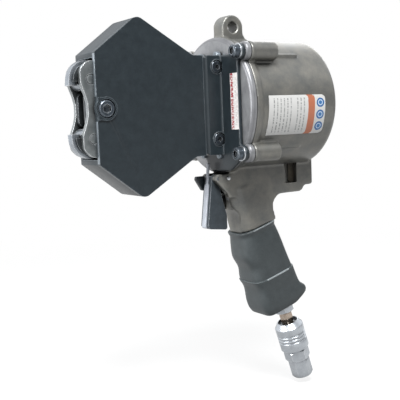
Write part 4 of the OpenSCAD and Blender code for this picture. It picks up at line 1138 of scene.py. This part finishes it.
    def fasteners(self) -> None:
        """Makes the four socket screws and their washers, each set as separate solids."""
        bench = self.shop.bench
        screws, washers = [], []
        for y, z in BOLTS:
            screw = bench.lathe("screw", [(-9.3, 0), (-9.3, 4.2), (-8.5, 5.0), (-4.0, 5.0),
                                          (-4.0, 3.0), (23, 3.0), (23, 0)],
                                (0, y, z), REARWARD, 56)
            bench.cut(screw, bench.rod("socket", (-11, y, z), (-7.2, y, z), 2.9, 6))
            screws.append(screw)
            washers.append(bench.lathe("washer", [(-4.0, 3.15), (-4.0, 6.0), (-3.0, 6.0),
                                                  (-3.0, 3.15)], (0, y, z), REARWARD, 56))
        screw_set = bench.ease(bench.gather("cover_screws", screws), 0.2, 2)
        self.shop.dress(screw_set, BLACK_OXIDE, "frame", "cover_bolts")
        washer_set = bench.ease(bench.gather("cover_washers", washers), 0.2, 2)
        self.shop.dress(washer_set, ZINC_PLATE, "frame", "bolt_washers")

    def build(self) -> None:
        """Makes the cylinder and what closes it."""
        self.casting()
        self.cover()
        self.fasteners()


@dataclass
class Grip:
    """The rubber sleeve of the grip: finger grooves in front, a palm swell behind."""

    shop: Workshop
    # distance down, front edge, rear edge, half width and corner radius
    stations: tuple[tuple[float, float, float, float, float], ...] = (
        (0, -17.8, 17.4, 14.8, 9), (12, -20, 18.8, 15.9, 9), (22, -21.4, 19.8, 16.4, 9),
        (33, -18.6, 20.4, 16.6, 8.5), (43, -19.8, 21.4, 16.8, 8), (52, -17.6, 22.2, 16.8, 7),
        (62, -18.8, 24, 16.8, 6), (67, -19, 28, 16.8, 5.5), (72, -18.6, 27, 16.6, 5.5),
        (77.2, -17, 17, 15.6, 5.5))
    sides: int = 72

    def section(self, down: float) -> list[float]:
        """Gives front edge, rear edge, half width and corner radius at a distance down the grip."""
        rows = self.stations
        i = max(k for k in range(len(rows) - 1) if rows[k][0] <= down + 1e-9)
        t = (down - rows[i][0]) / (rows[i + 1][0] - rows[i][0])
        before, after = rows[max(i - 1, 0)], rows[min(i + 2, len(rows) - 1)]
        out = []
        for k in (1, 2, 3, 4):
            a, b, c, d = before[k], rows[i][k], rows[i + 1][k], after[k]
            out.append(0.5 * (2 * b + (c - a) * t + (2 * a - 5 * b + 4 * c - d) * t * t
                              + (3 * b - a - 3 * c + d) * t ** 3))
        return out

    def ring(self, down: float, shrink: float = 0.0) -> list[Vector]:
        """Gives one rounded section of the sleeve."""
        front, rear, half, corner = self.section(down)
        # the superellipse whose diagonal meets a corner of that radius
        e = -2 * math.log(1 - CORNER_SHARE * corner / half) / math.log(2)
        middle, reach = (front + rear) / 2, (rear - front) / 2 - shrink
        points = []
        for k in range(self.sides):
            t = 2 * math.pi * k / self.sides
            c, s = math.cos(t), math.sin(t)
            points.append(on_grip(middle + reach * math.copysign(abs(c) ** e, c),
                                  (half - shrink) * math.copysign(abs(s) ** e, s), down))
        return points

    def prism(self, name: str, points: Sequence[Vector], length: float) -> Piece:
        """Extrudes an outline down the grip by some millimetres."""
        return self.shop.bench.drawn(name, points, on_grip(0, 0, length) - on_grip(0, 0, 0))

    def build(self) -> None:
        """Grows the sleeve ring by ring, rounds its lip, and hollows it for the core."""
        bench = self.shop.bench
        downs = [(0.0, 0.6), (0.0, -0.8), (0.3, -1.15), (1.0, -1.2), (2.0, -0.9), (3.4, -0.3),
                 (4.6, 0.0)] + [(6.2 + 1.9 * k, 0.0) for k in range(20)]
        # a low step across the flanks, fading out downwards
        downs += [(44.3, 0.0)] + [(44.4 + 1.82 * k, min(-0.8 + 0.1 * k, 0.0)) for k in range(17)]
        downs += [(75.3, 0.0), (76.4, 0.15), (77.0, 0.6), (77.2, 1.2)]
        piece = bench.outline("grip_rubber_sleeve", self.ring(*downs[0]))
        bench.pick(piece)
        for down, shrink in downs[1:]:
            bpy.ops.object.mode_set(mode="EDIT")
            bpy.ops.mesh.extrude_region_move(TRANSFORM_OT_translate={"value": (0, 0, -0.001)})
            bpy.ops.object.mode_set(mode="OBJECT")
            moved = [v for v in piece.data.vertices if v.select]
            for vertex, point in zip(moved, self.ring(down, shrink)):
                vertex.co = point
        bench.edit(piece, lambda: bpy.ops.mesh.normals_make_consistent(inside=False))
        core = self.prism("core", [on_grip(x, y, -2) for x, y in (
            (-11, -9.5), (16, -9.5), (16, 9.5), (-11, 9.5))], 50)
        bench.cut(piece, core)
        self.shop.dress(piece, GRIP_RUBBER, "frame", "grip_sleeve", angle=50)
        # the pale lines at the lip and at the step are painted highlights
        self.sheen_and_scuff("grip_lip", 0.1, 1.1, 1.35, -9.0, 30.0)
        self.sheen_and_scuff("grip_step", 44.3, 1.3, 1.0, -10.5, 13.5)

    def sheen_and_scuff(self, name: str, down: float, thick: float, proud: float, front: float,
               back: float) -> None:
        """Adds a pale line across the sleeve's flanks: a painted highlight on a ledge.

        Args:
            name: The line's name.
            down: Distance down the grip where it starts.
            thick: Its width down the grip.
            proud: How far it stands off the sleeve's section.
            front: Where it starts across the grip.
            back: Where it ends across the grip.
        """
        bench = self.shop.bench
        lip = self.prism(name, self.ring(down, -proud), thick)
        for a, b, half in ((-30, front, 30), (back, 40, 30), (-14, 14, 12.5)):
            bench.cut(lip, self.prism("cut", [on_grip(x, y, down - 2) for x, y in (
                (a, -half), (b, -half), (b, half), (a, half))], thick + 4))
        bench.ease(lip, 0.3, 2)
        self.shop.dress(lip, LIP_HIGHLIGHT_RUBBER, "frame", angle=50)


@dataclass
class Trigger:
    """The long trigger: a pressed channel with a finger pad along its front."""

    shop: Workshop
    half: float = 5.75

    def build(self) -> None:
        """Makes the channel and the pad, and pins them to the trigger's body."""
        bench = self.shop.bench
        side = rounded([(-6.4, -56.2, 2.6), (-8.0, -57, 1), (-13.2, -98.2, 1.2),
                        (-11.8, -100.6, 1.5), (5.4, -102.6, 2), (5.2, -90, 2), (1.2, -76, 4),
                        (-2.2, -62, 2), (-2.2, -56.2, 2.6)], 6)
        body = bench.slab("trigger_channel", side, -self.half, self.half)
        channel = [(-7.6, -52), (-8.4, -64), (-11.9, -97.8), (10, -98.8), (10, -52)]
        bench.cut(body, bench.slab("channel", channel, -self.half + 2, self.half - 2),
                  bench.across("pin", -5, -59.4, -7, 7, 1.55, 32))
        bench.ease(body, 0.45, 3)
        self.shop.dress(body, TRIGGER_LACQUER, "trigger_body", "trigger")
        # the pad's pale colour is painted light on the front that faces the lamps
        front = rounded([(-10.1, -64, 0.3), (-14.4, -99.2, 0.7), (-13.2, -100.4, 0.4),
                         (-12.3, -99.2, 0.3), (-8.9, -64, 0.3)], 6)
        stem = rounded([(-8.2, -46.6, 0.5), (-10.2, -66, 0), (-8.9, -66, 0), (-6.6, -46.6, 0.5)], 6)
        pad = bench.gather("trigger_pad", [
            bench.ease(bench.slab("face", front, -2.8, 2.8), 0.4, 3),
            bench.ease(bench.slab("stem", stem, -1.6, 1.6), 0.4, 2)])
        self.shop.dress(pad, TRIGGER_PAD_LIT, "trigger_body")


@dataclass
class Coupler:
    """The air inlet: nut, tinted neck, grooved sleeve and the two hexagons below it."""

    shop: Workshop
    offset: float = 7.9
    nut_s: float = 77.2
    neck_s: float = 85.4
    sleeve_s: float = 95.6
    hex_s: float = 122.9
    end_s: float = 132.5
    tip_s: float = 149.0
    sleeve_r: float = 12.6

    def point(self, down: float, across: float = 0.0, side: float = 0.0) -> Vector:
        """Gives a point beside the inlet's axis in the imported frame."""
        return on_grip(self.offset + across, side, down)

    def axis(self) -> Vector:
        """Gives the direction down the inlet."""
        return (self.point(10) - self.point(0)).normalized()

    def turned(self, name: str, profile: Outline, steps: int = 96) -> Piece:
        """Turns a profile about the inlet's axis; its first number counts down the axis."""
        start = self.point(0)
        origin = (start.x / MM + EYE_X, 0.0, start.z / MM + EYE_Z)
        return self.shop.bench.lathe(name, profile, origin, self.axis(), steps)

    def plug(self, name: str, top: float, low: float, radius: float, steps: int = 96) -> Piece:
        """Turns a plain bar about the inlet's axis."""
        return self.turned(name, [(top, 0), (top, radius), (low, radius), (low, 0)], steps)

    def hexagon(self, name: str, top: float, low: float, flats: float, top_cut: float,
                low_cut: float, turn: float = 0.0) -> Piece:
        """Makes a hexagon bar whose corners are turned off at its ends.

        Args:
            name: The piece's name.
            top: Distance down the axis of the upper end.
            low: Distance down the axis of the lower end.
            flats: Width across the flats.
            top_cut: Length of the turned corners at the upper end.
            low_cut: Length of the turned corners at the lower end.
            turn: Angle of the first corner.

        Returns:
            The bar.
        """
        bench = self.shop.bench
        corner = flats / 2 / math.cos(math.pi / 6)
        ring = [self.point(top, corner * math.cos(turn + math.pi * k / 3),
                           corner * math.sin(turn + math.pi * k / 3)) for k in range(6)]
        bar = bench.drawn(name, ring, self.point(low) - self.point(top))
        inside = flats / 2 + 0.1
        return bench.trim(bar, self.turned("blank", [
            (top, 0), (top, inside if top_cut else corner + 1), (top + top_cut, corner + 0.02),
            (low - low_cut, corner + 0.02), (low, inside if low_cut else corner + 1),
            (low, 0)], 72))

    def nut(self) -> None:
        """Makes the sealing washer and the reducing nut under the grip."""
        bench = self.shop.bench
        nut = self.hexagon("inlet_nut_made", self.nut_s + 1.6, self.neck_s, 16.2, 0.9, 0.9)
        bench.weld(nut, self.plug("washer", self.nut_s, self.nut_s + 1.6, 9.2),
                   self.plug("thread", 65.2, 78, 6.6, 48))
        bench.cut(nut, self.plug("bore", 60, 88, 4.6, 40))
        bench.ease(nut, 0.25, 2, 20)
        self.shop.dress(nut, ZINC_PLATE, "frame", "inlet_nut")

    def neck(self) -> None:
        """Makes the warm-tinted nipple with its hexagon neck."""
        bench = self.shop.bench
        neck = self.hexagon("nipple_neck", self.neck_s, 92.0, 11.0, 0.0, 0.0)
        bench.weld(neck, self.plug("stub", 75.4, 86, 4.6, 48), self.turned("plug", [
            (91.5, 0), (91.5, 5.2), (99.1, 5.2), (99.1, 3.9), (102.5, 3.9), (102.5, 5.2),
            (105, 5.2), (105, 3.9), (113, 3.9), (113, 0)], 48))
        bench.cut(neck, self.plug("bore", 70, 114, 2.3, 32))
        bench.ease(neck, 0.25, 2, 25)
        self.shop.dress(neck, NICKEL_BRASS, "frame", "plug_nipple")

    def sleeve(self) -> None:
        """Turns the sliding sleeve: a coned top, three grooves and the spring's chamber."""
        bench = self.shop.bench
        top, low, r = self.sleeve_s, self.sleeve_s + 26.7, self.sleeve_r
        profile = [(top, 8.65), (top, 9.4), (top + 3.3, r - 1.1), (top + 4.4, r)]
        for groove in (11.2, 14.2, 17.2):
            s = top + groove
            profile += [(s - 0.75, r), (s - 0.4, r - 0.8), (s + 0.4, r - 0.8), (s + 0.75, r)]
        profile += [(low - 1.2, r), (low, r - 1.0), (low, 8.65), (low - 2.4, 8.65),
                    (low - 2.4, 10.9), (low - 17.0, 10.9), (low - 17.0, 8.65)]
        sleeve = self.turned("coupler_sleeve_made", profile, 120)
        bench.ease(sleeve, 0.22, 2, 20)
        self.shop.dress(sleeve, ZINC_PLATE, "coupler_sleeve_body", "coupler_sleeve")

    def hexagons(self) -> None:
        """Makes the coupler's hexagon with its tube, and the end fitting."""
        bench = self.shop.bench
        body = self.hexagon("coupler_hexagon", self.hex_s, self.end_s, 19.6, 1.5, 1.5,
                            math.pi / 6)
        tube = self.turned("tube", [(97.6, 0), (97.6, 8.6), (109.3, 8.6), (109.3, 10.5),
                                    (110.3, 10.5), (110.3, 8.6), (124, 8.6), (124, 0)], 72)
        bench.weld(body, tube)
        bench.cut(body, self.turned("plug_bore", [(96, 0), (96, 5.25), (124, 5.25), (124, 4),
                                                  (134, 4), (134, 0)], 48))
        for k in range(4):
            turn = math.pi / 2 * k
            a, b = (self.point(100.8, r * math.cos(turn), r * math.sin(turn)) for r in (4, 12))
            bench.cut(body, bench.rod("ball_hole", self._tool(a), self._tool(b), 2.0, 24))
        bench.ease(body, 0.3, 2, 20)
        self.shop.dress(body, ZINC_PLATE, "coupler", "coupler_body")
        end = self.hexagon("coupler_end_hexagon", self.end_s, self.tip_s, 16.6, 0.0, 1.0,
                           math.pi / 6)
        bench.cut(end, self.plug("thread_bore", 136, 150, 5.6, 48),
                  self.plug("way", 131, 137, 4, 32))
        bench.ease(end, 0.35, 2, 20)
        self.shop.dress(end, ZINC_PLATE, "coupler", "coupler_end")

    @staticmethod
    def _tool(point: Vector) -> Point:
        """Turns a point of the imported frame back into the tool's millimetres."""
        return (point.x / MM + EYE_X, point.y / MM, point.z / MM + EYE_Z)

    def build(self) -> None:
        """Makes the whole inlet."""
        self.nut()
        self.neck()
        self.sleeve()
        self.hexagons()


@dataclass
class Plates:
    """The printed plates on the barrel and on the bracket."""

    shop: Workshop
    barrel_r: float = 52.95
    start_x: float = 17.6
    length: float = 56.4
    top: float = math.radians(6.1)
    low: float = math.radians(-28.5)
    corner: float = 3.6
    thick: float = 0.3

    def grid(self, name: str, across: int, along: int,
             shape: Callable[[float, float], Vector]) -> Piece:
        """Adds a grid with its UV map and lays it on a surface.

        Args:
            name: The piece's name.
            across: Squares in the first direction.
            along: Squares in the second direction.
            shape: Gives the place of each pair of shares from 0 to 1.

        Returns:
            The sheet.
        """
        self.shop.bench.clear()
        bpy.ops.mesh.primitive_grid_add(x_subdivisions=across, y_subdivisions=along, size=1)
        piece = bpy.context.object
        piece.name = piece.data.name = name
        for vertex in piece.data.vertices:
            vertex.co = shape(vertex.co.x + 0.5, vertex.co.y + 0.5)
        piece.data.update()
        return piece

    def on_barrel(self, u: float, v: float) -> Vector:
        """Gives a place on the barrel, with both rear corners rounded."""
        height = (self.top - self.low) * self.barrel_r
        near = min(v, 1 - v) * height
        cut = 0.0
        if near < self.corner:
            cut = self.corner - math.sqrt(max(self.corner ** 2 - (self.corner - near) ** 2, 0))
        x = self.start_x + u * (self.length - cut)
        angle = self.low + v * (self.top - self.low)
        r = self.barrel_r
        return place(x, -r * math.cos(angle), r * math.sin(angle))

    def film(self, piece: Piece, film: PrintedFilm, node: str) -> None:
        """Gives a sheet its thickness and its print."""
        bench = self.shop.bench
        bench.apply(piece, "SOLIDIFY", thickness=self.thick * MM, offset=1.0)
        bench.finish(piece, film.build(), film.slot, "frame", [node], 35)

    def build(self) -> None:
        """Makes both plates."""
        data = self.grid("data_film", 48, 28, self.on_barrel)
        self.film(data, DATA_FILM, "data_plate")
        # seen from the front, the plate's left edge lies beside the head
        edge = self.grid("bracket_film", 6, 10, lambda u, v: place(
            -3.02, -40.6 + u * 9.8, 24.4 - v * 44.0))
        self.film(edge, BRACKET_FILM, "bracket_plate")


@dataclass
class Studio:
    """The pale floor, the tent, the soft lamps and the camera at the photograph's angle."""

    azimuth: float = math.radians(-31.18)
    elevation: float = math.radians(5.45)
    roll: float = math.radians(-2.41)
    lens: float = 73.4
    eye: Point = (-361.8, -570.1, -12.7)
    fill: float = 0.30
    gap: float = 0.004
    aim: Vector = field(default_factory=lambda: Vector((-0.03, 0.0, -0.10)))
    # parts of the tent that are darkened: direction, where it starts, where it is full, how dark
    flags: tuple[tuple[float, float, float, float, float], ...] = (
        (0.52, -0.86, 0.70, 0.93, 0.22), (-0.93, 0.36, 0.86, 0.98, 0.6),
        (1.0, 0.0, 0.90, 0.985, 0.2), (0.52, 0.86, 0.80, 0.95, 0.25))

    def camera(self) -> None:
        """Sets the camera that the photograph was fitted to."""
        az, el, roll = self.azimuth, self.elevation, self.roll
        back = Vector((math.sin(az) * math.cos(el), -math.cos(az) * math.cos(el), math.sin(el)))
        level = Vector((math.cos(az), math.sin(az), 0))
        upright = back.cross(level)
        right = level * math.cos(roll) + upright * math.sin(roll)
        up = upright * math.cos(roll) - level * math.sin(roll)
        data = bpy.data.cameras.new("camera")
        data.lens, data.sensor_width = self.lens, 36.0
        data.clip_start, data.clip_end = 0.01, 50.0
        camera = bpy.data.objects.new("camera", data)
        bpy.context.scene.collection.objects.link(camera)
        turn = Matrix((right, up, back)).transposed().to_4x4()
        camera.matrix_world = Matrix.Translation(place(*self.eye)) @ turn
        bpy.context.scene.camera = camera

    def lamp(self, name: str, spot: Point, size: float, power: float) -> None:
        """Adds one soft square lamp that looks at the tool, with its place in metres."""
        data = bpy.data.lights.new(name, "AREA")
        data.shape, data.size, data.energy = "SQUARE", size, power
        lamp = bpy.data.objects.new(name, data)
        lamp.location = spot
        lamp.rotation_euler = (self.aim - Vector(spot)).to_track_quat("-Z", "Y").to_euler()
        bpy.context.scene.collection.objects.link(lamp)

    def sky(self) -> None:
        """Gives soft light, a tent for shiny surfaces, and white where the background is seen."""
        world = bpy.data.worlds.new("studio_white")
        bpy.context.scene.world = world
        world.use_nodes = True
        tree = world.node_tree
        tree.nodes.clear()
        path = add_node(tree, "ShaderNodeLightPath")
        seen = add_node(tree, "ShaderNodeMath", {"operation": "MAXIMUM"}, {}, {
            0: path.outputs["Is Camera Ray"], 1: path.outputs["Is Transmission Ray"]}).outputs[0]
        plain = add_node(tree, "ShaderNodeBackground", values={"Color": (1, 1, 1, 1),
                                                               "Strength": 1.0})
        ray = add_node(tree, "ShaderNodeTexCoord").outputs["Generated"]
        rise = add_node(tree, "ShaderNodeSeparateXYZ", links={0: ray}).outputs[2]
        soft = add_node(tree, "ShaderNodeMapRange", values={
            1: -0.5, 2: 1.0, 3: self.fill * 0.6, 4: self.fill * 1.6}, links={0: rise}).outputs[0]
        fill = add_node(tree, "ShaderNodeBackground", values={"Color": (0.96, 0.98, 1.0, 1)},
                        links={1: soft})
        # shiny surfaces see a light tent with a dark floor and flags beside the camera
        level = add_node(tree, "ShaderNodeMapRange", values={1: -0.7, 2: -0.15, 3: 0.12, 4: 1.0},
                         links={0: rise}).outputs[0]
        crown = add_node(tree, "ShaderNodeMapRange", values={1: 0.66, 2: 0.88, 3: 1.22, 4: 0.4},
                         links={0: rise}).outputs[0]
        level = add_node(tree, "ShaderNodeMath", {"operation": "MULTIPLY"}, {},
                         {0: level, 1: crown}).outputs[0]
        for x, y, start, full, dark in self.flags:
            near = add_node(tree, "ShaderNodeVectorMath", {"operation": "DOT_PRODUCT"},
                            {1: (x, y, 0.0)}, {0: ray}).outputs["Value"]
            shade = add_node(tree, "ShaderNodeMapRange", values={
                1: start, 2: full, 3: 1.0, 4: dark}, links={0: near}).outputs[0]
            level = add_node(tree, "ShaderNodeMath", {"operation": "MULTIPLY"}, {},
                             {0: level, 1: shade}).outputs[0]
        tent = add_node(tree, "ShaderNodeBackground", values={"Color": (0.97, 0.98, 1.0, 1)},
                        links={1: level})
        glossy = add_node(tree, "ShaderNodeMixShader", links={
            0: path.outputs["Is Glossy Ray"], 1: fill.outputs[0], 2: tent.outputs[0]})
        both = add_node(tree, "ShaderNodeMixShader", links={
            0: seen, 1: glossy.outputs[0], 2: plain.outputs[0]})
        add_node(tree, "ShaderNodeOutputWorld", links={0: both.outputs[0]})

    def floor(self, height: float) -> None:
        """Lays the pale floor just below the tool: shadowed near it, white further out."""
        bpy.ops.mesh.primitive_plane_add(size=3, location=(0, 0, height))
        floor = bpy.context.object
        floor.name = floor.data.name = "floor"
        material = new_material("pale_floor")
        tree = material.node_tree
        tree.nodes.clear()
        path = add_node(tree, "ShaderNodeLightPath").outputs
        spot = add_node(tree, "ShaderNodeTexCoord").outputs["Object"]
        away = add_node(tree, "ShaderNodeVectorMath", {"operation": "LENGTH"}, {},
                        {0: spot}).outputs["Value"]
        # the camera sees white early; reflections see the dark foot of the tent first
        share = None
        for rays, start, end, least in (("Is Camera Ray", 0.25, 1.1, 0.80),
                                        ("Is Glossy Ray", 0.05, 0.30, 0.60)):
            white_share = add_node(tree, "ShaderNodeMapRange", {"interpolation_type": "SMOOTHSTEP"},
                                   {1: start, 2: end, 3: least, 4: 1.0}, {0: away}).outputs[0]
            share = add_node(tree, "ShaderNodeMath", {"operation": "MULTIPLY_ADD"}, {2: 0.0}, {
                0: path[rays], 1: white_share, **({2: share} if share else {})}).outputs[0]
        # pale to the camera, greyer in what it throws back at the tool
        tone = add_node(tree, "ShaderNodeMix", {"data_type": "RGBA"},
                        {6: linear("#707070"), 7: linear("#f6f6f6")},
                        {0: path["Is Camera Ray"]}).outputs[2]
        matt = add_node(tree, "ShaderNodeBsdfDiffuse", links={"Color": tone})
        white = add_node(tree, "ShaderNodeEmission", values={"Color": (1, 1, 1, 1),
                                                             "Strength": 1.0})
        mixed = add_node(tree, "ShaderNodeMixShader", links={
            0: share, 1: matt.outputs[0], 2: white.outputs[0]})
        add_node(tree, "ShaderNodeOutputMaterial", links={0: mixed.outputs[0]})
        floor.data.materials.append(material)
        floor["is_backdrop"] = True

    def build(self, low: float) -> None:
        """Sets up camera, lamps, sky and floor."""
        self.camera()
        self.sky()
        self.lamp("key_light", (-0.38, -0.76, 1.0), 0.5, 26.0)
        self.lamp("top_light", (0.15, 0.1, 1.0), 0.8, 1.5)
        self.lamp("left_light", (-1.1, 0.1, 0.15), 0.7, 13.0)
        self.lamp("rim_light", (0.7, 0.6, 0.35), 0.5, 2.0)
        self.floor(low - self.gap)
        bpy.context.scene.view_settings.view_transform = "Standard"


def plain(corners: tuple[Vector, Vector]) -> list[list[float]]:
    """Turns a box's two corners into plain lists of numbers."""
    return [[float(x) for x in corner] for corner in corners]


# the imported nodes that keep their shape, by the finish that each gets
KEPT_SHAPES = (
    (SEAL_RUBBER, "cover_gasket rod_seal rear_bumper piston_seal stem_seals"),
    (BRONZE, "rod_bush valve_bushing"),
    (SHADED_BRONZE, "exhaust_silencer"),
    (SPRING_WIRE, "return_spring valve_spring coupler_spring valve_clip"),
    (BLACK_OXIDE, "trigger_pin"),
    (PIN_STEEL, "inlet_screen piston_rod crosshead_pin upper_tail_pin lower_tail_pin valve_stem "
                "coupler_balls"),
    (GROUND_STEEL, "crosshead upper_links lower_links"),
    (PISTON_METAL, "piston"),
    (ZINC_PLATE, "piston_nut"))


def main() -> None:
    """Builds the scene, one sub-assembly after another."""
    logging.basicConfig(level=logging.INFO, format="%(message)s")
    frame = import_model()
    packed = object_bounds()
    shop = Workshop()
    Studio().build(packed[0].z)
    for assembly in (Head, Jaws, Cylinder, Grip, Trigger, Coupler, Plates):
        assembly(shop).build()
    for finish, names in KEPT_SHAPES:
        shop.coat(frame, finish, *names.split())
    {"cad": plain(packed), "visual": plain(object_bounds())}


if __name__ == "__main__":
    main()
